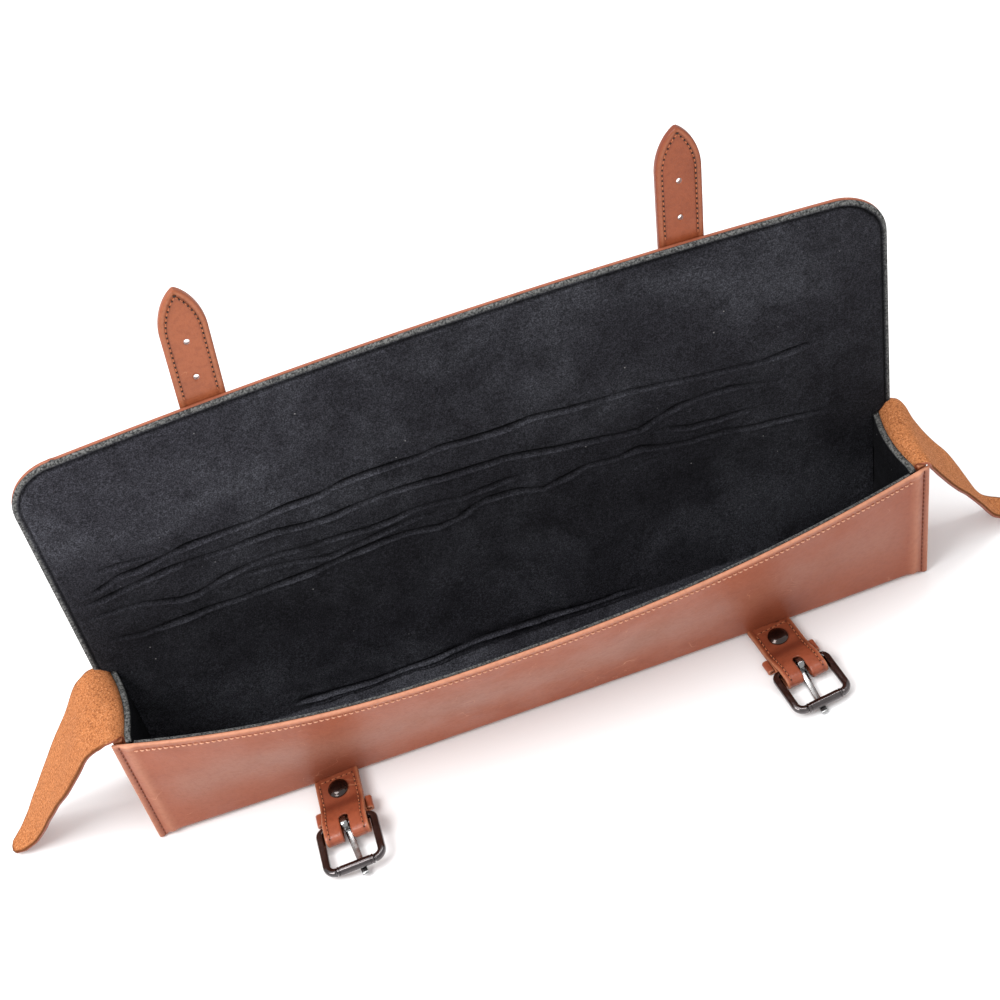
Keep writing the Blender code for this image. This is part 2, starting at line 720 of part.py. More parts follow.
for tab in TABS:
    side_name = tab["side"]
    turn = tab["turn"]
    along = HALF_LENGTH * tab["along"]
    root = Vector((along, front_y(along, FOLD_RADIUS), TAB_WIDTH * tab["lift"]))
    out = Vector((math.sin(turn), -math.cos(turn), 0.0))
    level = Vector((math.cos(turn), math.sin(turn), 0.0))
    upright = Vector((0.0, 0.0, 1.0))
    across = level * math.cos(tab["roll"]) + upright * math.sin(tab["roll"])
    up = upright * math.cos(tab["roll"]) - level * math.sin(tab["roll"])

    def on_tab(u, v, w, root=root, out=out, across=across, up=up):
        return root + out * u + across * v + up * w

    def on_root(u, v, w, place=on_tab, slope=math.tan(turn)):
        """Like on_tab, but the end inside the wall lies parallel to the wall."""
        return place(u + (v * slope if u < 0 else 0.0), v, w)

    def on_frame(u, v, w, place=on_tab):
        """Along the buckle's frame, across it and up from it, from the middle of its heel bar."""
        return place(
            TAB_HEEL_DISTANCE + u * math.cos(FRAME_TILT) + w * math.sin(FRAME_TILT), v,
            HEEL_HEIGHT + w * math.cos(FRAME_TILT) - u * math.sin(FRAME_TILT))

    def on_prong(u, v, w, place=on_frame, skew=tab["skew"]):
        """Like on_frame, but turned aside as the prong lies in its slot."""
        offset = -math.copysign(PRONG_OFFSET, skew)
        return place(
            u * math.cos(skew) - v * math.sin(skew), offset + u * math.sin(skew) + v * math.cos(skew), w)

    heel = on_frame(0.0, 0.0, 0.0)
    rivet_height = TAB_ROOT_HEIGHT + TAB_RIVET_RISE

    def on_rivet(a, b, c, place=on_tab, height=rivet_height):
        return place(RIVET_DISTANCE + a, b, height + c)

    # Tab, folded round the heel bar, with its slot and its rivet hole
    tab_made = add_object(
        "tab_" + side_name, extruded(tab_outline(), on_root, TAB_WIDTH / 2), "leather", root)
    bore = add_object("guide_bore_" + side_name, extruded(bore_outline(), on_tab, TAB_WIDTH), "leather")
    slot_start = TAB_SLOT_START - TAB_HEEL_DISTANCE
    slot_end = 2 * TAB_LOOP_SLACK
    slot = add_object(
        "guide_slot_" + side_name,
        block(on_frame, (slot_start, slot_end), TAB_SLOT_WIDTH / 2, (-TAB_SLOT_START, TAB_SLOT_START)),
        "leather")
    post, post_rings = turned(
        ((RIVET_POST / 2 + GAP, -TAB_WIDTH), (RIVET_POST / 2 + GAP, TAB_WIDTH)), 12, on_rivet)
    for ring in post_rings:
        post.faces.new(ring)
    post_hole = add_object("guide_post_" + side_name, post, "leather")
    for cutter in (bore, slot, post_hole):
        boolean(tab_made, cutter, "DIFFERENCE")

    # Slit in the foot of the front wall, which holds the tab's root
    slit_half = TAB_THICKNESS / 2 + GAP
    slit = add_object(
        "guide_slit_" + side_name,
        block(
            on_root, (-TAB_ROOT_DEPTH - GAP, TAB_THICKNESS), TAB_WIDTH / 2 + GAP,
            (TAB_ROOT_HEIGHT - slit_half, TAB_ROOT_HEIGHT + slit_half)),
        "leather")
    boolean(body_leather, slit, "DIFFERENCE")

    # Keeper under the tab
    keeper_middle = KEEPER_START + KEEPER_LENGTH / 2
    add_object(
        "keeper_" + side_name,
        extruded(
            keeper_outline(), lambda a, b, c, place=on_tab: place(keeper_middle + b, a, c),
            KEEPER_LENGTH / 2),
        "leather", on_tab(keeper_middle, 0.0, 0.0))

    # Rivet with its cap on the tab
    rivet, rivet_rings = turned(rivet_profile(), 16, on_rivet)
    rivet.faces.new(rivet_rings[0])
    rivet.faces.new(rivet_rings[-1])
    add_object("rivet_" + side_name, rivet, "rivet", on_rivet(0.0, 0.0, 0.0))

    # Buckle: frame, roller and prong
    add_object("buckle_frame_" + side_name, wire_loop(frame_path(), 10, on_frame), "gunmetal", heel)
    roller, roller_rings = turned(
        ((ROLLER_DIAMETER / 2, -ROLLER_LENGTH / 2), (ROLLER_DIAMETER / 2, ROLLER_LENGTH / 2),
         (ROLLER_BORE / 2, ROLLER_LENGTH / 2), (ROLLER_BORE / 2, -ROLLER_LENGTH / 2)), 16,
        lambda a, b, c, place=on_frame: place(FRAME_PITCH + a, c, b))
    first = roller_rings[0]
    last = roller_rings[-1]
    for k in range(len(first)):
        after = (k + 1) % len(first)
        roller.faces.new((last[k], last[after], first[after], first[k]))
    add_object("buckle_roller_" + side_name, roller, "gunmetal", on_frame(FRAME_PITCH, 0.0, 0.0))
    prong = add_object(
        "buckle_prong_" + side_name, extruded(prong_outline(), on_prong, PRONG_WIDTH / 2), "steel", heel)
    prong_bore = add_object(
        "guide_prong_bore_" + side_name, tube(on_frame, HEEL_BAR / 2 + BAR_CLEARANCE, TAB_WIDTH), "steel")
    boolean(prong, prong_bore, "DIFFERENCE")
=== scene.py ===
import math

import bmesh
import bpy
import numpy as np
from mathutils import Matrix, Vector


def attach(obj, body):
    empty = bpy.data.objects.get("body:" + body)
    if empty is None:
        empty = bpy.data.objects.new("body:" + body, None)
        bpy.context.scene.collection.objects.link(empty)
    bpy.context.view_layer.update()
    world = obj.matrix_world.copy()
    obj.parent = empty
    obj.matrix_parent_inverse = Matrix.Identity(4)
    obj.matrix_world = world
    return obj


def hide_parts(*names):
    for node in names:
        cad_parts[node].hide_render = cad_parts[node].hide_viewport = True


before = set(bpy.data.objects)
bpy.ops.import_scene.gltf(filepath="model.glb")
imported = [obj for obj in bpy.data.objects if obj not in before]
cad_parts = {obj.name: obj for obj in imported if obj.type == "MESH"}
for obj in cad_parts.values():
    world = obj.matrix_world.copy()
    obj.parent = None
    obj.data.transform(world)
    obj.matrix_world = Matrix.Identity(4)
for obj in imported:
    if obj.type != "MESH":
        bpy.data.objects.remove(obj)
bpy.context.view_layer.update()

# Sizes of the sheet, in metres
HALF = 0.218
DEPTH = 0.051
HEIGHT = 0.0865
FLAP = 0.145
LEATHER = 0.0022
FELT = 0.0030
FOLD = 0.0062
FIN_FOLD = 0.0020
CORNER = 0.026
LEAN = math.radians(2.1)
BOW = 0.026
BOW_PEAK = -0.030
BOW_POWER = 2.4
FOOT_BOW = 0.0025
FLAP_BOW = 0.0085
FLAP_BOW_PEAK = 0.010
FLAP_BOW_REACH = HALF * 0.92
END_FACE = 0.213
END_HOLLOW = 0.0025
LINING_HALF = 0.2066
GAP = 0.0003
SEAM_IN = 0.0034

# Crest, ridge and groove lines, as distances from the sheet's rim and widths
SEAM_GROOVE_WIDTH = 0.0007
SEAM_BULGE_IN, SEAM_BULGE_WIDTH = 0.0080, 0.0024
EDGE_GROOVE_IN, EDGE_GROOVE_WIDTH = 0.0038, 0.0008
FELT_GROOVE_IN, FELT_GROOVE_WIDTH = 0.0033, 0.0006
LEATHER_ROUND = 0.0009
FELT_ROUND = 0.0012


# ---------------------------------------------------------------- mesh helpers

def mesh_object(name, points, faces, attributes=None):
    """Smooth object from points and faces, with float attributes given per point."""
    mesh = bpy.data.meshes.new(name)
    mesh.from_pydata([tuple(p) for p in points], [], faces)
    for key, values in (attributes or {}).items():
        made = mesh.attributes.new(key, "FLOAT", "POINT")
        made.data.foreach_set("value", np.asarray(values, np.float32))
    mesh.shade_smooth()
    made = bpy.data.objects.new(name, mesh)
    bpy.context.scene.collection.objects.link(made)
    work = bmesh.new()
    work.from_mesh(mesh)
    bmesh.ops.recalc_face_normals(work, faces=work.faces)
    work.to_mesh(mesh)
    work.free()
    return made


def grid_normals(grid):
    """Unit normals of a grid of points, rows by columns by 3."""
    down = np.gradient(grid, axis=0)
    over = np.gradient(grid, axis=1)
    normal = np.cross(down, over)
    length = np.linalg.norm(normal, axis=2, keepdims=True)
    return normal / np.maximum(length, 1e-12)


def shell(name, near, far, attributes):
    """Closed solid between two grids of points, with attributes given over one grid."""
    rows, columns = near.shape[:2]
    count = rows * columns
    index = np.arange(count).reshape(rows, columns)
    quads = np.stack([index[:-1, :-1], index[1:, :-1], index[1:, 1:], index[:-1, 1:]], axis=-1).reshape(-1, 4)
    faces = quads.tolist() + (quads[:, ::-1] + count).tolist()
    for line in (index[:, 0], index[::-1, -1], index[0, ::-1], index[-1]):
        for one, two in zip(line[:-1], line[1:]):
            faces.append([int(two), int(one), int(one) + count, int(two) + count])
    points = np.concatenate([near.reshape(-1, 3), far.reshape(-1, 3)])
    both = {key: np.tile(np.asarray(values).ravel(), 2) for key, values in attributes.items()}
    return mesh_object(name, points, faces, both)


def baked(obj):
    """Applies an object's modifiers."""
    graph = bpy.context.evaluated_depsgraph_get()
    mesh = bpy.data.meshes.new_from_object(obj.evaluated_get(graph))
    obj.modifiers.clear()
    obj.data = mesh
    return obj


def cut(obj, cutters):
    """Cuts shapes out of an object and removes them."""
    for cutter in cutters:
        step = obj.modifiers.new("cut", "BOOLEAN")
        step.operation = "DIFFERENCE"
        step.object = cutter
        step.solver = "EXACT"
    baked(obj)
    for cutter in cutters:
        bpy.data.objects.remove(cutter, do_unlink=True)
    return obj


def rounded(distance, radius):
    """How far a face sinks at a distance from a rounded rim."""
    inside = np.clip(1 - distance / radius, 0, 1)
    return radius * (1 - np.sqrt(np.maximum(0, 1 - inside ** 2)))


def smoothstep(low, high, value):
    t = np.clip((value - low) / (high - low), 0, 1)
    return t * t * (3 - 2 * t)


def waves(x, y, seed, size):
    """Smooth seeded unevenness between about -1 and 1 over two coordinates."""
    total = np.zeros(np.broadcast(x, y).shape)
    state = np.random.RandomState(seed)
    weight = 0.0
    for k in range(7):
        angle = state.uniform(0, math.pi)
        phase = state.uniform(0, 2 * math.pi)
        pitch = size * state.uniform(0.6, 1.7)
        share = state.uniform(0.5, 1.0)
        along = x * math.cos(angle) + y * math.sin(angle)
        total = total + share * np.sin(along * 2 * math.pi / pitch + phase)
        weight += share
    return total / weight * 1.6


def spline(knots, at):
    """Smooth curve through rows of numbers at even steps, read at the given places from 0 to 1."""
    knots = np.asarray(knots, float)
    last = len(knots) - 1
    t = np.clip(np.asarray(at, float), 0, 1) * last
    k = np.minimum(t.astype(int), last - 1)
    f = (t - k)[:, None]
    p0 = knots[np.maximum(k - 1, 0)]
    p1 = knots[k]
    p2 = knots[k + 1]
    p3 = knots[np.minimum(k + 2, last)]
    square = (2 * p0 - 5 * p1 + 4 * p2 - p3) * f ** 2
    cube = (3 * p1 - p0 - 3 * p2 + p3) * f ** 3
    return 0.5 * (2 * p1 + (p2 - p0) * f + square + cube)


def dress(obj, body, material, slot, *nodes):
    """Gives a piece its material and the body it rides, and hides the nodes it replaces; the slot is not used.
    """
    obj.data.materials.clear()
    obj.data.materials.append(material)
    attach(obj, body)
    if nodes:
        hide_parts(*nodes)
    return obj


# ---------------------------------------------------------------- materials

# Colour of the painted sheen over the middle of the front wall
PAINTED_SHEEN_COLOUR = (0.290, 0.160, 0.122)
RIM_GREY_DARK = (0.030, 0.031, 0.031)
RIM_GREY_PALE = (0.185, 0.185, 0.180)
LINT_COLOUR = (0.30, 0.29, 0.29)


class Nodes:
    """Small builder of node materials."""

    def __init__(self, name):
        self.material = bpy.data.materials.new(name)
        self.material.use_nodes = True
        self.tree = self.material.node_tree
        self.shader = self.tree.nodes["Principled BSDF"]
        coordinates = self.tree.nodes.new("ShaderNodeTexCoord")
        self.where = coordinates.outputs["Object"]

    def put(self, kind, inputs=None, **settings):
        node = self.tree.nodes.new(kind)
        for key, value in settings.items():
            setattr(node, key, value)
        for key, value in (inputs or {}).items():
            if isinstance(value, bpy.types.NodeSocket):
                self.tree.links.new(value, node.inputs[key])
            else:
                node.inputs[key].default_value = value
        return node

    def noise(self, scale, detail=3.0, rough=0.55, distortion=0.0, where=None):
        node = self.put("ShaderNodeTexNoise", {
            "Vector": where or self.where, "Scale": scale, "Detail": detail, "Roughness": rough,
            "Distortion": distortion})
        return node.outputs["Fac"]

    def stretched(self, factors):
        return self.put("ShaderNodeMapping", {"Vector": self.where, "Scale": factors}).outputs["Vector"]

    def spread(self, value, low, high, to_low=0.0, to_high=1.0, smooth=True):
        node = self.put("ShaderNodeMapRange", {
            "Value": value, "From Min": low, "From Max": high, "To Min": to_low, "To Max": to_high})
        node.interpolation_type = "SMOOTHSTEP" if smooth else "LINEAR"
        node.clamp = True
        return node.outputs["Result"]

    def math(self, operation, one, two=0.0):
        node = self.put("ShaderNodeMath", operation=operation)
        for k, value in enumerate((one, two)):
            if isinstance(value, bpy.types.NodeSocket):
                self.tree.links.new(value, node.inputs[k])
            else:
                node.inputs[k].default_value = value
        return node.outputs[0]

    def attribute(self, name):
        return self.put("ShaderNodeAttribute", attribute_name=name).outputs["Fac"]

    def mix(self, factor, one, two, blend="MIX"):
        node = self.put("ShaderNodeMix", data_type="RGBA", blend_type=blend)
        for key, value in ((0, factor), (6, one), (7, two)):
            if isinstance(value, bpy.types.NodeSocket):
                self.tree.links.new(value, node.inputs[key])
            elif key == 0:
                node.inputs[key].default_value = value
            else:
                node.inputs[key].default_value = (*value, 1.0)
        return node.outputs[2]

    def bump(self, height, strength, distance, under=None):
        inputs = {"Height": height, "Strength": strength, "Distance": distance}
        if under is not None:
            inputs["Normal"] = under
        return self.put("ShaderNodeBump", inputs).outputs["Normal"]

    def finish(self, colour=None, rough=None, normal=None, **fixed):
        for key, value in (("Base Color", colour), ("Roughness", rough), ("Normal", normal)):
            if isinstance(value, bpy.types.NodeSocket):
                self.tree.links.new(value, self.shader.inputs[key])
            elif value is not None:
                self.shader.inputs[key].default_value = (*value, 1.0) if key == "Base Color" else value
        for key, value in fixed.items():
            self.shader.inputs[key.replace("_", " ")].default_value = value
        return self.material


def leather_material(name, base, dark, pale, specular, rough):
    """Waxed leather: cloudy colour, fine grain and faint scratches; darker and paler zones, partly painted
    shade and painted highlight; a painted sheen.
    """
    n = Nodes(name)
    cloud = n.noise(14, 4, 0.6, 0.4)
    fine = n.noise(420, 3, 0.6)
    colour = n.mix(n.spread(cloud, 0.38, 0.66), base, [0.80 * b + 0.20 * d for b, d in zip(base, dark)])
    colour = n.mix(n.math("MULTIPLY", n.spread(n.noise(38, 4, 0.6), 0.48, 0.78), 0.30), colour, dark)
    # Darker zones from the shade attribute: partly painted shade, partly darker leather
    colour = n.mix(n.math("MULTIPLY", n.attribute("shade"), 0.72), colour, dark)
    # Painted sheen: a paler, greyer colour mixed in over the middle of the front wall
    colour = n.mix(n.math("MULTIPLY", n.attribute("painted_sheen"), 0.55), colour, PAINTED_SHEEN_COLOUR)
    # Paler zones from the pale attribute: partly painted highlight, partly paler leather
    colour = n.mix(n.attribute("pale"), colour, pale)
    colour = n.mix(n.spread(fine, 0.40, 0.70, 0.0, 0.22), colour, dark)
    lines = n.noise(26, 2, 0.5, 1.4, n.stretched((1.0, 1.0, 1.6)))
    ridge = n.math("ABSOLUTE", n.math("SUBTRACT", lines, 0.5))
    scratch = n.spread(ridge, 0.0, 0.006, 1.0, 0.0)
    where = n.spread(n.noise(34, 1, 0.5), 0.56, 0.64)
    scratch = n.math("MULTIPLY", scratch, where)
    colour = n.mix(n.math("MULTIPLY", scratch, 0.55), colour, pale)
    pores = n.put("ShaderNodeTexVoronoi", {"Vector": n.where, "Scale": 1100.0}).outputs["Distance"]
    normal = n.bump(pores, 0.16, 0.0003)
    normal = n.bump(fine, 0.20, 0.0006, normal)
    gloss = n.spread(n.noise(30, 3, 0.6), 0.35, 0.7, rough[0], rough[1])
    return n.finish(colour, gloss, normal, Specular_IOR_Level=specular)


def flesh_material(name, base, dark, pale):
    """Rough flesh side of the leather, with loose fibres and a darker cut edge."""
    n = Nodes(name)
    fibre = n.noise(950, 3, 0.75)
    speck = n.noise(1500, 2, 0.7)
    darker = [0.86 * b + 0.14 * d for b, d in zip(base, dark)]
    colour = n.mix(n.spread(n.noise(24, 3, 0.6), 0.35, 0.7), base, darker)
    colour = n.mix(n.spread(fibre, 0.44, 0.62, 0.0, 0.85), colour, dark)
    colour = n.mix(n.spread(speck, 0.54, 0.70, 0.0, 0.8), colour, pale)
    colour = n.mix(n.math("MULTIPLY", n.attribute("edge"), 0.85), colour, [d * 0.45 for d in dark])
    normal = n.bump(fibre, 0.65, 0.0010)
    normal = n.bump(n.noise(240, 3, 0.6), 0.30, 0.0012, normal)
    return n.finish(colour, 0.95, normal, Specular_IOR_Level=0.08)


def felt_material(name, base, pale):
    """Black napped felt: brushed patches, nap, grey cut rim and a few specks of lint; painted light and shade
    on creases and brighter places; painted shade on the end felts.
    """
    n = Nodes(name)
    nap = n.noise(1450, 2, 0.7)
    brushed_nap_and_painted_light = n.noise(13, 5, 0.62, 0.5)
    colour = n.mix(n.spread(brushed_nap_and_painted_light, 0.36, 0.70), base, pale)
    colour = n.mix(n.spread(n.noise(75, 4, 0.65), 0.46, 0.72, 0.0, 0.45), colour, [c * 0.4 for c in base])
    # Painted shade: where the deep attribute is set, on the end felts, the felt is painted darker
    colour = n.mix(n.math("MULTIPLY", n.attribute("deep"), 0.62), colour, [c * 0.30 for c in base])
    clumps = n.spread(n.noise(520, 3, 0.6), 0.35, 0.65, 0.78, 1.18)
    grain = n.math("MULTIPLY", n.spread(nap, 0.40, 0.74, 0.70, 3.05, False), clumps)
    # Painted light on crease ridges and painted shade in their grooves, from the ridge attribute
    painted_crease_light = n.math("ADD", n.math("MULTIPLY", n.attribute("ridge"), 0.95), 1.0)
    # Painted light: the brushed attribute lightens the felt where more light falls
    painted_light_and_shade = n.math("ADD", n.math("MULTIPLY", n.attribute("brushed_nap_and_painted_light"), 1.35), 0.80)
    painted_light_and_shade = n.math("MULTIPLY", painted_light_and_shade, painted_crease_light)
    grain = n.math("MULTIPLY", grain, n.math("MAXIMUM", painted_light_and_shade, 0.15))
    grain = n.put("ShaderNodeCombineColor", {"Red": grain, "Green": grain, "Blue": grain}).outputs["Color"]
    colour = n.mix(1.0, colour, grain, "MULTIPLY")
    grey = n.mix(n.spread(n.noise(900, 3, 0.7), 0.36, 0.64), RIM_GREY_DARK, RIM_GREY_PALE)
    edge = n.math("MULTIPLY", n.attribute("rim"), n.spread(n.noise(420, 3, 0.6), 0.30, 0.52, 0.65, 1.0))
    colour = n.mix(edge, colour, grey)
    lint = n.put("ShaderNodeTexVoronoi", {"Vector": n.where, "Scale": 150.0})
    dot = n.spread(lint.outputs["Distance"], 0.035, 0.070, 1.0, 0.0)
    rare = n.put("ShaderNodeSeparateColor", {"Color": lint.outputs["Color"]}).outputs["Red"]
    dot = n.math("MULTIPLY", dot, n.spread(rare, 0.86, 0.90))
    colour = n.mix(n.math("MULTIPLY", dot, 0.8), colour, LINT_COLOUR)
    normal = n.bump(nap, 0.70, 0.0012)
    normal = n.bump(n.noise(210, 4, 0.6), 0.35, 0.0018, normal)
    return n.finish(colour, 0.96, normal, Specular_IOR_Level=0.08)


def thread_material(name, base, dark):
    n = Nodes(name)
    twist = n.noise(2600, 2, 0.5)
    colour = n.mix(n.spread(twist, 0.35, 0.65), base, dark)
    return n.finish(colour, 0.62, n.bump(twist, 0.5, 0.0003), Specular_IOR_Level=0.4)


def metal_material(name, base, worn, rough, spots=0.25):
    """Plated metal with faint smears and small worn places."""
    n = Nodes(name)
    smear = n.noise(90, 3, 0.6)
    colour = n.mix(n.spread(smear, 0.45, 0.75, 0.0, 0.7), base, worn)
    gloss = n.spread(n.noise(240, 3, 0.6), 0.35, 0.7, rough, rough + 0.16)
    normal = n.bump(n.noise(700, 2, 0.5), spots * 0.25, 0.0003)
    return n.finish(colour, gloss, normal, Metallic=1.0, Coat_Weight=0.8, Coat_Roughness=0.07)


WALL = leather_material(
    "waxed_leather", (0.315, 0.086, 0.040), (0.165, 0.034, 0.014), (0.55, 0.25, 0.15), 0.32, (0.38, 0.56))
EDGE_LEATHER = leather_material(
    "belt_leather", (0.315, 0.078, 0.028), (0.125, 0.022, 0.008), (0.52, 0.22, 0.11), 0.32, (0.36, 0.52))
TAB_LEATHER = leather_material(
    "tab_leather", (0.30, 0.075, 0.034), (0.090, 0.016, 0.007), (0.52, 0.22, 0.11), 0.40, (0.28, 0.42))
FLESH = flesh_material("flesh_side", (0.48, 0.178, 0.066), (0.20, 0.060, 0.020), (0.72, 0.34, 0.16))
FELT_BLACK = felt_material("black_nap", (0.0108, 0.0106, 0.0130), (0.0235, 0.0238, 0.0280))
THREAD_PALE = thread_material("pale_thread", (0.74, 0.40, 0.27), (0.48, 0.20, 0.11))
THREAD_TAN = thread_material("tan_thread", (0.46, 0.150, 0.060), (0.28, 0.075, 0.028))
THREAD_DARK = thread_material("dark_thread", (0.20, 0.048, 0.022), (0.10, 0.020, 0.010))
# Needle holes are dark capsules: painted shade in the holes
PAINTED_HOLE_SHADE = thread_material("needle_hole", (0.020, 0.006, 0.003), (0.012, 0.004, 0.002))
GUNMETAL = metal_material("gunmetal_plate", (0.055, 0.045, 0.046), (0.110, 0.092, 0.092), 0.10)
STEEL = metal_material("prong_steel", (0.22, 0.22, 0.22), (0.50, 0.50, 0.50), 0.12, 0.0)
RIVET = metal_material("rivet_enamel", (0.022, 0.012, 0.010), (0.050, 0.030, 0.024), 0.12, 0.1)


# ---------------------------------------------------------------- sheet

def front_lean(x):
    away = np.where(x > BOW_PEAK, (x - BOW_PEAK) / (HALF - BOW_PEAK), (BOW_PEAK - x) / (HALF + BOW_PEAK))
    return BOW * (1 - np.minimum(1.0, away) ** BOW_POWER)


def front_top(x):
    return np.sqrt(HEIGHT ** 2 - front_lean(x) ** 2)


def front_foot(x):
    return -DEPTH / 2 - FOOT_BOW * front_lean(x) / BOW


def front_y(x, z):
    share = np.maximum(0.0, (z - FOLD) / (front_top(x) - FOLD))
    lean = front_lean(x) * (1 - FOOT_BOW / BOW)
    return front_foot(x) - lean * share ** 1.1


def back_y(x, z):
    away = np.minimum(1.0, np.abs(x - FLAP_BOW_PEAK) / FLAP_BOW_REACH)
    share = z / (HEIGHT + FLAP)
    lean = math.tan(LEAN) * np.maximum(0.0, z - HEIGHT)
    return DEPTH / 2 + lean + FLAP_BOW * (1 - away ** 2) * share ** 1.5


RIM_STEPS = np.array([
    0.0, 0.00012, 0.0003, 0.0006, 0.0010, 0.0015, 0.0021, 0.0028, 0.0036, 0.0045, 0.0055, 0.0066, 0.008])
WALL_LENGTH = HEIGHT - FOLD


def run_rows(creased):
    """Rows of the sheet as (part, place): 0 front wall by its share, 1 and 3 folds by angle, 2 bottom by
    share, 4 back wall by height, 5 flap by height above the hinge; closer where the lining is creased."""
    rows = [(0, 1 - e / WALL_LENGTH) for e in RIM_STEPS]
    rows += [(0, s) for s in np.linspace(1 - 0.0098 / WALL_LENGTH, 0.03, 14 if creased else 44)]
    rows += [(1, a) for a in np.linspace(math.pi, 1.5 * math.pi, 7 if creased else 13)]
    rows += [(2, s) for s in np.linspace(0.08, 0.92, 6 if creased else 12)]
    rows += [(3, a) for a in np.linspace(1.5 * math.pi, 2 * math.pi, 7 if creased else 9)]
    if creased:
        rows += [(4, z) for z in np.arange(FOLD + 0.0014, 0.0146, 0.0007)]
        rows += [(4, z) for z in np.linspace(0.017, HEIGHT, 14)]
        straight = list(np.linspace(0.0018, 0.0085, 6)) + list(np.arange(0.0093, 0.0748, 0.00062))
        straight += list(np.linspace(0.0765, FLAP - CORNER, 16))
    else:
        rows += [(4, z) for z in np.linspace(FOLD + 0.003, HEIGHT, 26)]
        straight = list(np.linspace(0.0018, FLAP - CORNER, 68))
    turn = [FLAP - CORNER * (1 - math.sin(a)) for a in np.linspace(0, math.pi / 2, 15)[1:]]
    turn = [v for v in turn if v < FLAP - 0.0095] + [FLAP - e for e in RIM_STEPS[::-1]]
    rows += [(5, v) for v in straight + turn]
    return rows


ROWS = run_rows(False)
CREASED_ROWS = run_rows(True)


def sheet_surface(halves, lines=ROWS):
    """Outer face of the sheet over rows of half lengths: points, running length, rim distance."""
    parts = np.array([r[0] for r in lines])
    places = np.array([r[1] for r in lines])
    rows = len(lines)
    middle = np.linspace(-1, 1, 190)[1:-1]
    columns = len(middle) + 2 * len(RIM_STEPS)
    x = np.zeros((rows, columns))
    for k in range(rows):
        half = halves[k]
        edge = np.minimum(RIM_STEPS, half * 0.9)
        x[k] = np.concatenate([-half + edge, middle * (half - RIM_STEPS[-1]), (half - edge)[::-1]])
    y = np.zeros_like(x)
    z = np.zeros_like(x)
    s = np.zeros_like(x)
    for k in range(rows):
        part, place = parts[k], places[k]
        xs = x[k]
        foot = front_foot(xs)
        fin = 1 - smoothstep(0.0034, 0.0056, HALF - np.abs(xs))
        if part == 0:
            z[k] = FOLD + (front_top(xs) - FOLD) * place
            y[k] = front_y(xs, z[k])
            s[k] = -DEPTH - HEIGHT - WALL_LENGTH * place
        elif part == 1:
            turn = FOLD + (FIN_FOLD - FOLD) * fin
            y[k] = foot + turn * (1 + math.cos(place))
            z[k] = turn * (1 + math.sin(place))
            s[k] = -DEPTH - HEIGHT + FOLD * (place - math.pi) - FOLD * 0.2
        elif part == 2:
            y[k] = foot + FOLD + (DEPTH / 2 - foot - 2 * FOLD) * place
            s[k] = -HEIGHT - DEPTH * (1 - place)
        elif part == 3:
            turn = FOLD + (FIN_FOLD - FOLD) * fin
            y[k] = DEPTH / 2 - turn * (1 - math.cos(place))
            z[k] = turn * (1 + math.sin(place))
            s[k] = -HEIGHT + FOLD * (place - 1.5 * math.pi)
        elif part == 4:
            z[k] = place
            y[k] = back_y(xs, z[k])
            s[k] = place - HEIGHT
        else:
            z[k] = HEIGHT + place * math.cos(LEAN)
            y[k] = back_y(xs, z[k])
            s[k] = place
    grid = np.stack([x, y, z], axis=-1)
    half_here = np.array(halves)[:, None]
    distance = half_here - np.abs(x)
    for k in range(rows):
        part, place = parts[k], places[k]
        if part == 0:
            distance[k] = np.minimum(distance[k], (1 - place) * WALL_LENGTH)
        elif part == 5:
            top = FLAP - place
            dx = CORNER - (HALF - np.abs(x[k]))
            dy = CORNER - top
            corner = CORNER - np.sqrt(np.maximum(dx, 0) ** 2 + max(dy, 0) ** 2)
            plain = np.minimum(HALF - np.abs(x[k]), top)
            distance[k] = np.where((dx > 0) & (dy > 0), corner, plain)
    return grid, s, np.maximum(distance, 0)


def flap_half(row, half, lines=ROWS):
    part, place = lines[row]
    if part < 5:
        return half
    over = place - (FLAP - CORNER)
    if over <= 0:
        return half
    return half - CORNER + math.sqrt(max(0.0, CORNER ** 2 - over ** 2))


def inward(grid):
    """Normals that point to the inner side of the sheet."""
    normal = grid_normals(grid)
    on_front = normal[len(RIM_STEPS) + 2, normal.shape[1] // 2]
    return normal if on_front[1] > 0 else -normal


# Leather sheet: front wall, bottom, back wall and flap
halves = [flap_half(k, HALF) for k in range(len(ROWS))]
grid, run, rim = sheet_surface(halves)
normal = inward(grid)
from_end = HALF - np.abs(grid[..., 0])
seam_groove = np.exp(-((from_end - SEAM_IN) / SEAM_GROOVE_WIDTH) ** 2)
seam_bulge = np.exp(-((from_end - SEAM_BULGE_IN) / SEAM_BULGE_WIDTH) ** 2)
in_body = run < 0.0
front = run < -DEPTH - HEIGHT
top_groove = np.exp(-((rim - EDGE_GROOVE_IN) / EDGE_GROOVE_WIDTH) ** 2) * (front | (run > 0))
sink = rounded(rim, LEATHER_ROUND) + 0.0003 * top_groove
sink = sink + (0.0006 * seam_groove - 0.0009 * seam_bulge) * in_body
off_bottom = 1 - smoothstep(-0.02, 0.0, DEPTH / 2 - np.abs(run + HEIGHT + DEPTH / 2))
sink = sink + 0.00035 * waves(grid[..., 0], run, 3, 0.060) * smoothstep(0, 0.02, rim) * off_bottom
outer = grid + normal * sink[..., None]
outer[..., 2] = np.maximum(outer[..., 2], 0.0)
inner = grid + normal * (LEATHER - rounded(rim, LEATHER_ROUND))[..., None]
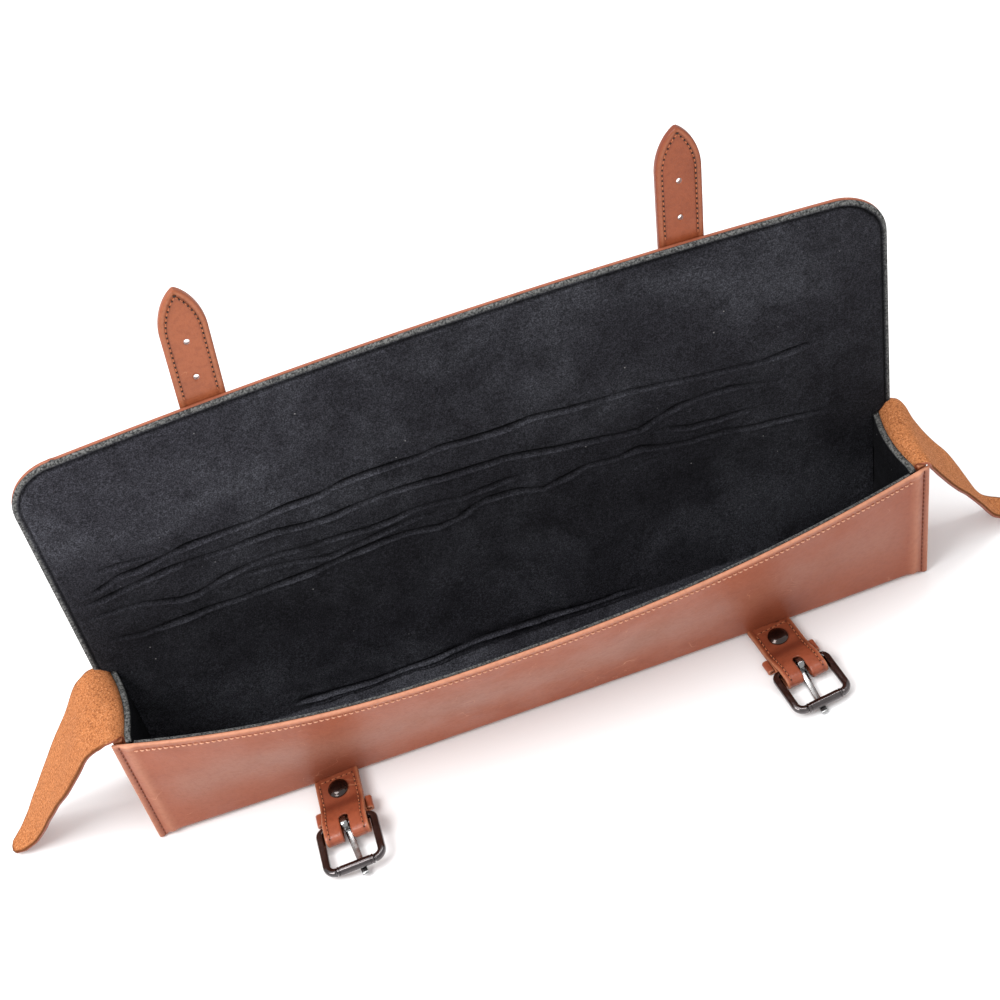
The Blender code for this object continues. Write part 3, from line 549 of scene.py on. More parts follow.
# Darker zones of the sheet: a darker patch above each tab, painted shade in the seam groove at each end, a
# darker seam strip at each end, a darker flap rim, and painted shade towards the right end
darker_zones_and_painted_shade = np.zeros_like(run)
TAB_PLACES = (-0.1201, 0.1245)
height = grid[..., 2]
for along in TAB_PLACES:
    blob = np.exp(-((grid[..., 0] - along - 0.002) / 0.017) ** 2) * np.exp(-((height - 0.012) / 0.022) ** 2)
    darker_zones_and_painted_shade = darker_zones_and_painted_shade + blob * front
strip = (1 - smoothstep(0.0026, 0.0038, from_end)) * in_body
flap_edge = np.exp(-(rim / 0.0010) ** 2) * (run > 0)
# Painted shade: the leather is painted darker towards the right end
painted_shade_right_end = 0.34 * smoothstep(0.05, 0.20, grid[..., 0]) * in_body
darker_zones_and_painted_shade = np.clip(
    darker_zones_and_painted_shade * 1.3 + 0.55 * seam_groove * in_body + 0.30 * strip + 0.65 * flap_edge + painted_shade_right_end, 0, 1)
# Paler zones: a paler rim, strongest on the front wall, a paler band just inside the front wall's top edge, and
# a painted highlight along the seam bulge at each end
pale = (0.15 + 0.60 * front) * np.exp(-(rim / 0.0011) ** 2) + 0.35 * seam_bulge * in_body
pale = np.clip(pale + 0.20 * np.exp(-((rim - 0.0022) / 0.001) ** 2) * front, 0, 1)
# Painted sheen: a paler, greyer band across the middle height of the front wall, weaker towards the right end
# and near the ends
wall_share = np.clip(-(run + DEPTH + HEIGHT) / WALL_LENGTH, 0, 1)
painted_sheen = front * np.exp(-((wall_share - 0.48) / 0.24) ** 2) * (1 - 0.5 * smoothstep(0.06, 0.16, grid[..., 0]))
painted_sheen = painted_sheen * smoothstep(0.004, 0.030, from_end) * (0.85 + 0.3 * waves(grid[..., 0], run, 61, 0.08))
zones = {"shade": darker_zones_and_painted_shade, "pale": pale, "painted_sheen": np.clip(painted_sheen, 0, 1)}
cover = shell("cover_leather", outer, inner, zones)
dress(cover, "cover", WALL, "tan_leather", "body_leather")

# Felt lining of the sheet
wide = [smoothstep(-0.002, 0.0045, place if part == 5 else -1.0) for part, place in CREASED_ROWS]
reach = LINING_HALF + 2 * GAP
halves = [flap_half(k, reach + (HALF - reach) * float(wide[k]), CREASED_ROWS) for k in range(len(CREASED_ROWS))]
grid, run, rim = sheet_surface(halves, CREASED_ROWS)
normal = inward(grid)
top_only = np.array([(1 - place) * WALL_LENGTH if part == 0 else 0.05 for part, place in CREASED_ROWS])[:, None]
flap_rows = np.array([part == 5 for part, _ in CREASED_ROWS])[:, None]
rim = np.where(flap_rows, rim, np.minimum(top_only, rim + 0.0030))

# Creases of the lining in millimetres: depth, width, then points along the case and up from the hinge
CREASES = (
    {"depth": 1.8, "width": 1, "line": (
        (-200.4, 56.3), (-186.2, 61.1), (-176, 61.2), (-151.5, 66), (-133.5, 66.5), (-115.7, 65.8),
        (-97.1, 68), (-81.7, 67.6), (-70.7, 70.4), (-55.1, 70.8), (-31.9, 69.9), (-18.6, 71.4),
        (-3.2, 70.4), (14.9, 69.6), (30.7, 70.3), (48.7, 68.1), (67, 67.5), (80.2, 67.5), (98.4, 65.1),
        (116.7, 62.8), (132.4, 61.2), (148.3, 59.3), (164.3, 60.4), (180.4, 62))},
    {"depth": 0.9, "width": 1.1, "line": (
        (-196.3, 69), (-183.8, 68.4), (-171.6, 67), (-161.8, 65.8))},
    {"depth": 1.6, "width": 1, "line": (
        (-202.6, 49.7), (-189.3, 51.4), (-173.3, 53.4), (-156, 55.4), (-152.2, 55.3), (-136.9, 54.4),
        (-124, 54.4), (-108.4, 54.6), (-93.4, 52), (-80.6, 51.2), (-67.2, 52.6), (-53.9, 53.5),
        (-38.2, 53.3), (-22.5, 52.5), (-4.2, 51.9), (11.6, 51.2), (26.9, 47.9), (37.2, 45.6),
        (52.9, 43.6), (71.3, 40.7), (82, 40), (90.5, 43.4), (104.4, 48), (118, 49.3), (131.4, 49),
        (147.2, 45.3), (157.8, 42.4))},
    {"depth": 1.4, "width": 1, "line": (
        (-205.6, 40.4), (-193, 39.8), (-180.6, 38.2), (-164, 32.7), (-153.7, 32.3), (-139.3, 37),
        (-123, 39.1), (-109.9, 38.9), (-94.7, 36.9), (-78.9, 36.6), (-63.5, 34.6), (-47.4, 35.4),
        (-36.3, 37.4), (-20.6, 36), (-15.6, 34.4), (-4.7, 35.5), (8.9, 36.5), (22.2, 35.9))},
    {"depth": 1.2, "width": 1, "line": (
        (-132.4, 33.4), (-119.4, 32.8), (-101.8, 29.6), (-86.9, 25.6), (-70.5, 27.3), (-54, 29.4),
        (-37.7, 30.8), (-22, 29))},
    {"depth": 1.9, "width": 1, "line": (
        (-199.2, 20.4), (-186.9, 17.9), (-170.8, 18.7), (-152.1, 19.8), (-133.8, 18.8), (-115.1, 19.2),
        (-96.2, 20.1), (-77.1, 22), (-60.7, 23.4), (-44.7, 23.1), (-29.2, 20.2), (-18.1, 21.7),
        (-9, 26.7), (-0.7, 28.3), (15.2, 26.8), (27.9, 21.9), (39.2, 24.8), (53.2, 27.6), (69.3, 25.9),
        (80.5, 28.2), (93.5, 23.3), (107, 21.5), (123.4, 21.3), (142.3, 16.9), (161.5, 15.2),
        (180.8, 12.5))},
    {"depth": 1.1, "width": 1, "line": (
        (94.9, 35.5), (108, 31.4), (121.5, 30.3), (135.1, 29.9), (145.9, 28.3))},
    {"depth": 1.6, "width": 1.1, "line": (
        (-124.9, -75.5), (-105.4, -77.2), (-85.7, -78.9), (-71.1, -77.7), (-47.9, -76.7), (-30.3, -74.9),
        (-7, -73.9), (16.1, -74.9), (39.1, -76.8), (56.8, -76.3), (68.4, -77))},
)


TONE_DEPTH = 0.0018


def crease_height(x, s):
    """Height of thin ridges, each with a groove just above it, and painted light on each ridge with painted
    shade in its groove.
    """
    total = np.zeros_like(x)
    painted_light_and_shade = np.zeros_like(x)
    for crease in CREASES:
        line = np.array(crease["line"]) / 1000
        deep, wide = crease["depth"] / 1000, crease["width"] / 1000
        there = np.interp(x, line[:, 0], line[:, 1])
        first, last = line[0, 0], line[-1, 0]
        fade = smoothstep(first - 0.008, first + 0.010, x) * (1 - smoothstep(last - 0.022, last + 0.006, x))
        uneven = 0.75 + 0.35 * np.sin(x * 95 + there * 900)
        off = (s - there) / wide
        crest = fade * uneven * deep * np.exp(-off ** 2)
        trough = fade * uneven * deep * np.exp(-((off - 1.9) / 0.85) ** 2)
        total += crest - 1.5 * trough
        painted_light_and_shade += (0.85 * crest - 1.1 * trough) / TONE_DEPTH
    return total, painted_light_and_shade


groove = np.exp(-((rim - FELT_GROOVE_IN) / FELT_GROOVE_WIDTH) ** 2)
swell = 0.0006 * waves(grid[..., 0], run, 11, 0.085) + 0.00025 * waves(grid[..., 0], run, 12, 0.022)
# Crease heights, with the painted light and shade of the creases
creased, ridge = crease_height(grid[..., 0], run)
lift = creased + swell * smoothstep(0.004, 0.02, rim)
edge_groove = groove * (run > 0.004)
front_zone = run < -DEPTH - HEIGHT
pressed = 0.0013 * (1 - smoothstep(0.0010, 0.0060, rim)) * (flap_rows | front_zone)
lift = lift - 0.0010 * edge_groove - 0.0006 * groove * front_zone - pressed
depth = LEATHER + FELT - rounded(rim, FELT_ROUND) + lift
face = grid + normal * depth[..., None]
back = grid + normal * (LEATHER + 0.0001 + rounded(rim, 0.0006))[..., None]
flap_grey = (1 - smoothstep(0.0013, 0.0027, rim)) * (run > 0.002)
front_grey = (1 - smoothstep(0.0001, 0.0009, rim)) * front_zone
rim_grey = np.clip(flap_grey + front_grey, 0, 1)
# Painted light on crease ridges, painted shade in their grooves and in the groove along the felt's edge
ridge = np.clip(ridge, -1, 1) - 0.9 * edge_groove
# Painted light: the felt is painted lighter up the flap, most on its left side, and in the lower part of the
# case
brushed_nap_and_painted_light = smoothstep(0.015, 0.120, run) * (1 - 0.80 * smoothstep(-0.200, 0.020, grid[..., 0]))
brushed_nap_and_painted_light = np.maximum(brushed_nap_and_painted_light, 0.30 * smoothstep(0.02, 0.12, run)) + 0.75 * (1 - smoothstep(-0.060, 0.010, run))
lining = shell("cover_lining", back, face, {"rim": rim_grey, "ridge": ridge, "brushed_nap_and_painted_light": brushed_nap_and_painted_light})
dress(lining, "cover", FELT_BLACK, "black_felt", "body_lining")


# ---------------------------------------------------------------- ends

# Ears as (distance out, height over the case's height, front edge, back edge, twist in degrees)
LEFT_EAR = (
    (0.00, 0.000, -0.0215, 0.0210, 0), (0.03, 0.030, -0.0240, 0.0232, 0), (0.08, 0.040, -0.0254, 0.0236, 0),
    (0.14, 0.026, -0.0256, 0.0226, 0), (0.23, -0.030, -0.0246, 0.0202, 0), (0.35, -0.190, -0.0222, 0.0186, 0),
    (0.50, -0.405, -0.0194, 0.0172, 0), (0.62, -0.580, -0.0156, 0.0164, 0), (0.74, -0.745, -0.0122, 0.0148, 0),
    (0.85, -0.870, -0.0094, 0.0108, 0), (0.93, -0.935, -0.0078, 0.0062, 0), (0.98, -0.960, -0.0062, 0.0022, 0),
    (1.00, -0.966, -0.0044, -0.0012, 0))
RIGHT_EAR = (
    (0.00, 0.000, -0.0215, 0.0210, 0), (0.03, 0.032, -0.0240, 0.0232, 0), (0.08, 0.034, -0.0252, 0.0236, 3),
    (0.13, -0.020, -0.0244, 0.0232, 6), (0.20, -0.155, -0.0218, 0.0196, 5), (0.31, -0.350, -0.0190, 0.0150, 6),
    (0.41, -0.515, -0.0172, 0.0108, 6), (0.50, -0.668, -0.0158, 0.0074, 3), (0.62, -0.855, -0.0146, 0.0046, -4),
    (0.76, -0.930, -0.0140, 0.0030, -8), (0.89, -0.962, -0.0108, 0.0016, -5),
    (0.97, -0.968, -0.0066, 0.0008, 0), (1.00, -0.969, -0.0026, 0.0004, 0))
EAR_REACH = 0.082
END_COLUMNS = 45
HOLLOW_REACH = DEPTH / 2 - LEATHER - FELT - GAP


def end_hollow(y, z):
    across = np.maximum(0.0, 1 - (y / HOLLOW_REACH) ** 2)
    return END_HOLLOW * across * np.maximum(0.0, z / HEIGHT) ** 1.5


def across_steps(count):
    """Places from -1 to 1 across a strip, close together at its edges."""
    turn = np.linspace(-1, 1, count)
    return np.sign(turn) * (1 - (1 - np.abs(turn)) ** 1.7)


def end_piece(name, side, ear):
    """End panel whose upper edge runs on into its drooping ear."""
    edge = 1.45 * LEATHER + 2 * GAP
    knots = []
    for share in (0.0, 0.2, 0.4, 0.6, 0.8, 0.93):
        z = edge + (HEIGHT - edge) * share
        low = float(front_y(side * END_FACE, z)) + edge
        high = float(back_y(side * END_FACE, z)) - edge
        knots.append((0.0, z, low, high, 0.0, 1.0))
    for out, rise, low, high, twist in ear:
        fade = max(0.0, 1 - out / 0.3)
        knots.append((EAR_REACH * out, HEIGHT * (1 + rise), low, high, math.radians(twist), fade))
    rows = 170
    line = spline(knots, np.linspace(0, 1, rows))
    steps = across_steps(END_COLUMNS)
    centre = END_COLUMNS // 2
    share = steps[None, :]
    low, high = line[:, 2:3], line[:, 3:4]
    across = (high - low) / 2 * share
    ear_part = smoothstep(0.004, 0.012, line[:, 0:1])
    tip = np.linspace(0, 1, rows)[:, None]
    ragged = 0.0005 * waves(tip * 0.12, share * 0.03, 21 + side, 0.007) * ear_part
    across = across + ragged * np.abs(share) ** 6 * np.sign(share)
    step = np.gradient(line[:, :2], axis=0)
    step /= np.maximum(np.linalg.norm(step, axis=1, keepdims=True), 1e-9)
    twist = line[:, 4:5]
    bend = 0.10 * np.logaddexp(0, (share - 0.12) * 9) / 9 * (high - low) / 2
    near_mouth = smoothstep(0.003, 0.014, line[:, 0:1]) * (1 - smoothstep(0.016, 0.032, line[:, 0:1]))
    bend = -bend * near_mouth * (side > 0)
    out = line[:, 0:1] - step[:, 1:2] * (across * np.sin(twist) + bend)
    y = (low + high) / 2 + across * np.cos(twist)
    z = line[:, 1:2] + step[:, 0:1] * (across * np.sin(twist) + bend)
    z = np.maximum(z, LEATHER / 2 + 0.0002)
    draw = end_hollow(y, np.minimum(z, HEIGHT)) * line[:, 5:6]
    x = side * (END_FACE - LEATHER / 2 + out - draw)
    middle = np.stack([x, y, z], axis=-1)
    half = (high - low) / 2
    rim = half * (1 - np.abs(share))
    travel = np.concatenate([[0], np.cumsum(np.linalg.norm(np.diff(middle[:, centre], axis=0), axis=1))])
    rim = np.minimum(rim, (travel[-1] - travel)[:, None] + 0.0001)
    normal = grid_normals(middle)
    if normal[-8, centre, 2] < 0:
        normal = -normal
    sway = 0.0010 * waves(middle[..., 0] * 1.3, middle[..., 1], 31 + side, 0.034) * ear_part
    middle = middle + normal * sway[..., None]
    thick = LEATHER - 2 * rounded(rim, 0.0008) * np.minimum(1.0, ear_part + 0.3)
    top = middle + normal * (thick / 2)[..., None]
    under = middle - normal * (thick / 2)[..., None]
    dark = np.clip(1.4 - rim / 0.0012, 0, 1) * ear_part
    obj = shell(name, top, under, {"edge": dark, "shade": dark * 0.8, "pale": 0 * rim})
    obj.data.materials.append(FLESH)
    obj.data.materials.append(WALL)
    quads = (rows - 1) * (len(steps) - 1)
    index = np.ones(len(obj.data.polygons), np.int32)
    index[:quads] = 0
    obj.data.polygons.foreach_set("material_index", index)
    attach(obj, "cover")
    return obj


def end_felt(name, side):
    """Felt inside an end panel, narrower at the foot where the sheet folds."""
    low_z = LEATHER + 2 * GAP
    up = np.concatenate([np.linspace(0, 0.93, 34), 1 - RIM_STEPS[::-1][2:] / HEIGHT])
    z = (low_z + (HEIGHT - GAP - low_z) * up)[:, None]
    drawn_in = LEATHER + 0.0034 * (1 - smoothstep(0.0, 0.12, up[:, None])) + 0.0002
    low = front_y(side * END_FACE, z) + drawn_in
    high = back_y(side * END_FACE, z) - drawn_in
    share = (across_steps(END_COLUMNS)[None, :] + 1) / 2
    y = low + (high - low) * share
    z = np.broadcast_to(z, y.shape)
    x = END_FACE - LEATHER - GAP - end_hollow(y, z)
    rim = HEIGHT - GAP - z
    swell = 0.0005 * waves(y, z, 41 + side, 0.030) * smoothstep(0.003, 0.012, rim)
    outer = np.stack([side * x, y, z], axis=-1)
    inner = np.stack([side * (x - FELT + rounded(rim, 0.0015) + swell), y, z - rounded(rim, 0.0004)], axis=-1)
    grey = 1 - smoothstep(0.0004, 0.0016, rim)
    # The deep attribute paints shade over the whole end felt
    return shell(name, outer, inner, {"rim": grey, "deep": np.ones_like(rim)})


def lip_piece(name, side):
    """Turned-out edge of the end panel, sewn to the inner face of the sheet's end."""
    count = sum(1 for part, _ in ROWS if part < 5)
    steps = np.array([0.0, 0.00015, 0.0004, 0.0008, 0.0014, 0.0022, 0.0034, 0.0046])
    x = side * (HALF - GAP - steps)
    halves = [HALF] * len(ROWS)
    grid, run, _ = sheet_surface(halves)
    normal = inward(grid)
    column = 0 if side < 0 else -1
    base = grid[:count, column]
    turn = normal[:count, 6 if side < 0 else -7]
    top = np.array([(1 - place) * WALL_LENGTH if part == 0 else 1.0 for part, place in ROWS[:count]])[:, None]
    rim = np.minimum(steps[None, :], top)
    points = np.repeat(base[:, None, :], len(steps), axis=1)
    points[..., 0] = x[None, :]
    near = points + turn[:, None, :] * (LEATHER + 0.0002 + rounded(rim, 0.0008))[..., None]
    far = points + turn[:, None, :] * (2 * LEATHER + 2 * GAP - rounded(rim, 0.0008))[..., None]
    pale = 0.7 * np.exp(-(rim / 0.0008) ** 2)
    return shell(name, near, far, {"shade": 0 * rim, "pale": pale})


for side_name, side, ear in (("left", -1, LEFT_EAR), ("right", 1, RIGHT_EAR)):
    panel = end_piece("end_ear_" + side_name, side, ear)
    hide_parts("end_panel_" + side_name)
    dress(end_felt("end_felt_" + side_name, side), "cover", FELT_BLACK, "black_felt", "end_lining_" + side_name)
    dress(lip_piece("end_lip_" + side_name, side), "cover", EDGE_LEATHER, "tan_leather")


# ---------------------------------------------------------------- stitches

FRONT_SEAM_IN = 0.0050
FLAP_SEAM_IN = 0.0046
STRAP_SEAM_IN = 0.0032
TAB_SEAM_IN = 0.0026
SMALL_PITCH = 0.0029
HOLE_SHIFT = SMALL_PITCH / 2


def stitches(name, places, length, radius, material):
    """Sewn stitches as short bent capsules; places are (centre, direction, normal)."""
    half_rings = ((-0.50, 0.35, -0.9), (-0.38, 0.80, -0.1), (-0.15, 1.0, 0.45))
    rings = half_rings + tuple((-place, width, rise) for place, width, rise in reversed(half_rings))
    sides = 6
    points = []
    faces = []
    for centre, along, normal in places:
        centre, along, normal = Vector(centre), Vector(along).normalized(), Vector(normal).normalized()
        over = along.cross(normal).normalized()
        start = len(points)
        for place, width, rise in rings:
            middle = centre + along * (place * length) + normal * (rise * radius)
            for k in range(sides):
                angle = 2 * math.pi * k / sides
                points.append(middle + (over * math.cos(angle) + normal * math.sin(angle)) * radius * width)
        for r in range(len(rings) - 1):
            for k in range(sides):
                after = (k + 1) % sides
                one = start + r * sides
                faces.append((one + k, one + after, one + sides + after, one + sides + k))
        faces.append(tuple(start + k for k in range(sides)))
        faces.append(tuple(start + (len(rings) - 1) * sides + k for k in reversed(range(sides))))
    dress(mesh_object(name, points, faces), "cover", material, "tan_leather")


def needle_holes(name, places, depth, length, radius):
    """Needle holes as dark capsules half a pitch along from each stitch, painted shade in each hole."""
    holes = [(Vector(c) + along * HOLE_SHIFT - normal * depth, along, normal) for c, along, normal in places]
    stitches(name, holes, length, radius, PAINTED_HOLE_SHADE)


def along_line(line, normals, pitch, lean=0.0):
    """Stitch places at an even pitch along a line of points."""
    line = np.asarray(line)
    travel = np.concatenate([[0], np.cumsum(np.linalg.norm(np.diff(line, axis=0), axis=1))])
    at = np.arange(pitch / 2, travel[-1] - pitch / 3, pitch)
    places = []
    for t in at:
        centre = [np.interp(t, travel, line[:, k]) for k in range(3)]
        before = [np.interp(t - pitch / 3, travel, line[:, k]) for k in range(3)]
        after = [np.interp(t + pitch / 3, travel, line[:, k]) for k in range(3)]
        normal = Vector([np.interp(t, travel, np.asarray(normals)[:, k]) for k in range(3)]).normalized()
        along = (Vector(after) - Vector(before)).normalized()
        over = along.cross(normal)
        along = (along + over * lean).normalized()
        places.append((centre, along, normal))
    return places


# Row of stitches under the front wall's top edge
halves = [flap_half(k, HALF) for k in range(len(ROWS))]
grid, run, rim = sheet_surface(halves)
normal = inward(grid)
wall_rows = [k for k in range(len(ROWS)) if ROWS[k][0] == 0]
row = min(wall_rows, key=lambda k: abs((1 - ROWS[k][1]) * WALL_LENGTH - FRONT_SEAM_IN))
inside = np.abs(grid[row, :, 0]) < HALF - 0.0062
places = along_line((grid[row] + normal[row] * 0.0001)[inside], -normal[row][inside], 0.0030, 0.24)
stitches("stitches_front", places, 0.0025, 0.00046, THREAD_PALE)

# Rows of stitches along both ends of the sheet, from the front edge round to the back wall's top
count = sum(1 for part, _ in ROWS if part < 5)
for side_name, column in (("left", 9), ("right", -10)):
    line = grid[3:count, column] + normal[3:count, column] * 0.0006
    line[:, 0] = (HALF - SEAM_IN) * (-1 if column > 0 else 1)
    line[:, 2] = np.maximum(line[:, 2], 0.0005)
    places = along_line(line, -normal[3:count, column], 0.0034)
    stitches("stitches_end_" + side_name, places, 0.0023, 0.00028, THREAD_DARK)

# Rows of stitches round the flap's edge on its outer face
seam_end = -HALF + FLAP_SEAM_IN
radius = CORNER - FLAP_SEAM_IN
seam_steps = [(seam_end, v) for v in np.linspace(0.004, FLAP - CORNER, 60)]
for a in np.linspace(0, math.pi / 2, 30)[1:]:
    seam_steps.append((seam_end + radius * (1 - math.cos(a)), FLAP - CORNER + radius * math.sin(a)))
seam_steps += [(x, FLAP - FLAP_SEAM_IN) for x in np.linspace(seam_end + radius, 0, 60)[1:]]
seam_steps += [(-x, v) for x, v in reversed(seam_steps[:-1])]
line = []
for x, v in seam_steps:
    z = HEIGHT + v * math.cos(LEAN)
    line.append((x, float(back_y(x, z)) + 0.0001, z))
stitches("stitches_flap", along_line(line, [(0, 1, -0.05)] * len(line), 0.0037), 0.0029, 0.00034, THREAD_PALE)


# ---------------------------------------------------------------- straps

STRAP_WIDTH = 0.0225
STRAP_THICK = 0.0036
STRAP_FREE = 0.064
STRAP_HELD = 0.088
STRAP_TIP = 0.024
STRAP_ROUND = 0.0011
STRAP_HOLE = 0.0014
STRAP_HOLE_TILT = math.radians(26)
STRAP_HOLE_FROM_TIP = 0.030
STRAP_HOLE_PITCH = 0.021


def strap_half(rise):
    start = STRAP_FREE - STRAP_TIP
    share = np.clip((rise - start) / STRAP_TIP, 0, 1)
    return STRAP_WIDTH / 2 * np.maximum(0.03, (1 - share ** 2) ** 0.72)


def strap_point(along, turn, across, rise, depth):
    """Point of a strap turned by an angle: across and up it, and deep from its near face."""
    x = along + across * math.cos(turn) + rise * math.sin(turn)
    travel = FLAP + rise * math.cos(turn) - across * math.sin(turn)
    z = HEIGHT + travel * math.cos(LEAN)
    edge = HEIGHT + FLAP * math.cos(LEAN)
    y = back_y(x, np.minimum(z, edge)) + math.tan(LEAN) * np.maximum(0.0, z - edge)
    return np.stack([x, y + GAP + depth, z - depth * math.sin(LEAN)], axis=-1)


def strap_piece(name, along, turn):
    tip = STRAP_FREE - np.array([0.0, 0.0001, 0.0003, 0.0007, 0.0013, 0.002, 0.003, 0.0042])
    rises = np.concatenate([
        -STRAP_HELD + np.array([0.0, 0.0003, 0.0008, 0.0015]),
        np.linspace(-STRAP_HELD + 0.003, STRAP_FREE - STRAP_TIP, 70),
        np.linspace(STRAP_FREE - STRAP_TIP, STRAP_FREE - 0.0042, 26)[1:-1], tip[::-1]])
    steps = across_steps(37)
    half = strap_half(rises)[:, None]
    across = half * steps[None, :]
    rise = np.broadcast_to(rises[:, None], across.shape)
    rim = half * (1 - np.abs(steps))[None, :]
    rim = np.minimum(rim, np.minimum(STRAP_FREE - rise, rise + STRAP_HELD))
    rim = np.maximum(rim, 0)
    groove = np.exp(-((half - np.abs(across) - STRAP_SEAM_IN) / 0.0006) ** 2)
    bow = np.where(rise > 0.002, 0.00035 * waves(across, rise, 51 + (along > 0), 0.050), 0)
    sunk = rounded(rim, STRAP_ROUND)
    near = strap_point(along, turn, across, rise, sunk + 0.00022 * groove + bow)
    far = strap_point(along, turn, across, rise, STRAP_THICK - sunk - 0.0002 * groove + bow)
    # Paler band inside the rim, darker cut rim and painted shade in the stitch groove; the whole right strap is
    # painted darker and the left one paler, as painted shade and painted light
    pale = 0.22 * np.exp(-((rim - 0.0019) / 0.0009) ** 2)
    shade = 0.45 * groove + 0.75 * np.exp(-(rim / 0.0006) ** 2) + (0.30 if along > 0 else 0.0)
    pale = pale + (0.12 if along < 0 else 0.0)
    strap = shell(name, near, far, {"pale": pale, "shade": shade})
    cutters = []
    for number in range(2):
        rise = STRAP_FREE - STRAP_HOLE_FROM_TIP - number * STRAP_HOLE_PITCH
        centre = strap_point(along, turn, 0.0, rise, STRAP_THICK / 2)
        bpy.ops.mesh.primitive_cylinder_add(
            vertices=24, radius=STRAP_HOLE, depth=0.02, location=centre,
            rotation=(math.pi / 2 - STRAP_HOLE_TILT, 0, 0))
        cutters.append(bpy.context.object)
    return cut(strap, cutters)


for side_name, along, turn in (("left", -0.1182, math.radians(4.2)), ("right", 0.1182, math.radians(3.4))):
    strap = strap_piece("strap_leather_" + side_name, along, turn)
    dress(strap, "cover", EDGE_LEATHER, "tan_leather", "strap_" + side_name)
    rises = np.concatenate([
        np.linspace(-STRAP_HELD + 0.004, STRAP_FREE - STRAP_TIP, 60),
        np.linspace(STRAP_FREE - STRAP_TIP, STRAP_FREE - STRAP_SEAM_IN, 40)[1:]])
    edge = np.maximum(strap_half(rises + 0.0012) - STRAP_SEAM_IN, 0.0)
    places = []
    strap_faces = (("near", -0.00005, (0, -1, 0.04)), ("far", STRAP_THICK + 0.00005, (0, 1, -0.04)))
    for face, depth, normal in strap_faces:
        for sign in (-1, 1):
            line = strap_point(along, turn, sign * edge, rises, depth)
            if face == "near":
                line = line[rises > 0.001]
            places += along_line(line, [normal] * len(line), SMALL_PITCH)
    stitches("stitches_strap_" + side_name, places, 0.0021, 0.00032, THREAD_TAN)
    needle_holes("strap_needle_holes_" + side_name, places, 0.00004, 0.0011, 0.00044)


# ---------------------------------------------------------------- tabs and buckles

TAB_WIDTH = 0.0242
TAB_THICK = 0.0034
TAB_LAYER = 0.0016
ROOT_HEIGHT = 0.0026
HEEL_DISTANCE = 0.0321
SLACK = 0.0060
HEEL_HEIGHT = 0.0056
HEEL_BAR = 0.0036
CLEAR = 0.0004
FRAME_TILT = math.radians(1.4)
FRAME_PITCH = 0.0255
FRAME_WIRE = 0.0042
FRAME_INNER = 0.0258
ROLLER_LENGTH = 0.0200
ROLLER_WIDTH = 0.0050
FRONT_BAR = 0.0029
PRONG_WIDTH = 0.0034
PRONG_THICK = 0.0018
PRONG_EYE = 0.0074
PRONG_OVER = 0.0052
PRONG_OFFSET = 0.0005
RIVET_AT = 0.0098
RIVET_HEIGHT = ROOT_HEIGHT + 0.0007
RIVET_HOLE = 0.0019
KEEPER_START = 0.0195
KEEPER_HALF_LENGTH = 0.00375
KEEPER_OVERHANG = 0.0036
KEEPER_HALF_THICK = 0.00068
KEEPER_LOW, KEEPER_HIGH = 0.0006, 0.0043
SLOT_REACH = 0.016

# Cutters of the tab's slot as (half width, start before the heel bar, from this level, to this level):
# the lower one is wider and longer, because the prong swings through there
SLOT_CUTTERS = ((0.0026, 0.0046, HEEL_HEIGHT - 0.0002, 0.03), (0.0031, 0.0074, -0.02, HEEL_HEIGHT))

# Tabs as (side, place along the case, turn, roll, lift, prong's turn)
TABS = (
    ("left", -0.551 * HALF, math.radians(-3.0), math.radians(8.0), 0.074 * TAB_WIDTH, math.radians(7.0)),
    ("right", 0.571 * HALF, math.radians(7.5), 0.0, 0.0, math.radians(-5.5)))


def tab_path():
    """Outer line of the folded tab in its side view, from the wall over the top and back below."""
    eye = HEEL_BAR / 2 + CLEAR + TAB_LAYER
    half = TAB_THICK / 2
    far = HEEL_DISTANCE + SLACK
    root, rivet = ROOT_HEIGHT + half, RIVET_HEIGHT + half
    knots = [
        (-0.0012, root), (0.0022, root + 0.0003), (0.0070, rivet), (0.0125, rivet), (0.0170, rivet + 0.0002),
        (0.0215, rivet + 0.0011), (0.0258, rivet + 0.0026), (HEEL_DISTANCE - 0.0020, HEEL_HEIGHT + eye * 0.93),
        (HEEL_DISTANCE + 0.0020, HEEL_HEIGHT + eye)]
    for k in range(7):
        angle = math.pi / 2 - math.pi * k / 6
        knots.append((far + eye * math.cos(angle), HEEL_HEIGHT + eye * math.sin(angle)))
    root, rivet = ROOT_HEIGHT - half, RIVET_HEIGHT - half
    knots += [
        (HEEL_DISTANCE, HEEL_HEIGHT - eye), (0.0262, root + 0.0017), (0.0195, root + 0.0014),
        (0.0153, rivet), (0.0060, rivet), (0.0, root), (-0.0012, root)]
    return np.array(knots)


def even(line, count):
    """Points at even steps along a line."""
    travel = np.concatenate([[0], np.cumsum(np.linalg.norm(np.diff(line, axis=0), axis=1))])
    at = np.linspace(0, travel[-1], count)
    return np.stack([np.interp(at, travel, line[:, k]) for k in range(line.shape[1])], axis=-1)


def strip_sides(line):
    """Unit normals of a line in its plane, to its right-hand side."""
    step = np.gradient(line, axis=0)
    step /= np.linalg.norm(step, axis=1, keepdims=True)
    return np.stack([step[:, 1], -step[:, 0]], axis=-1)


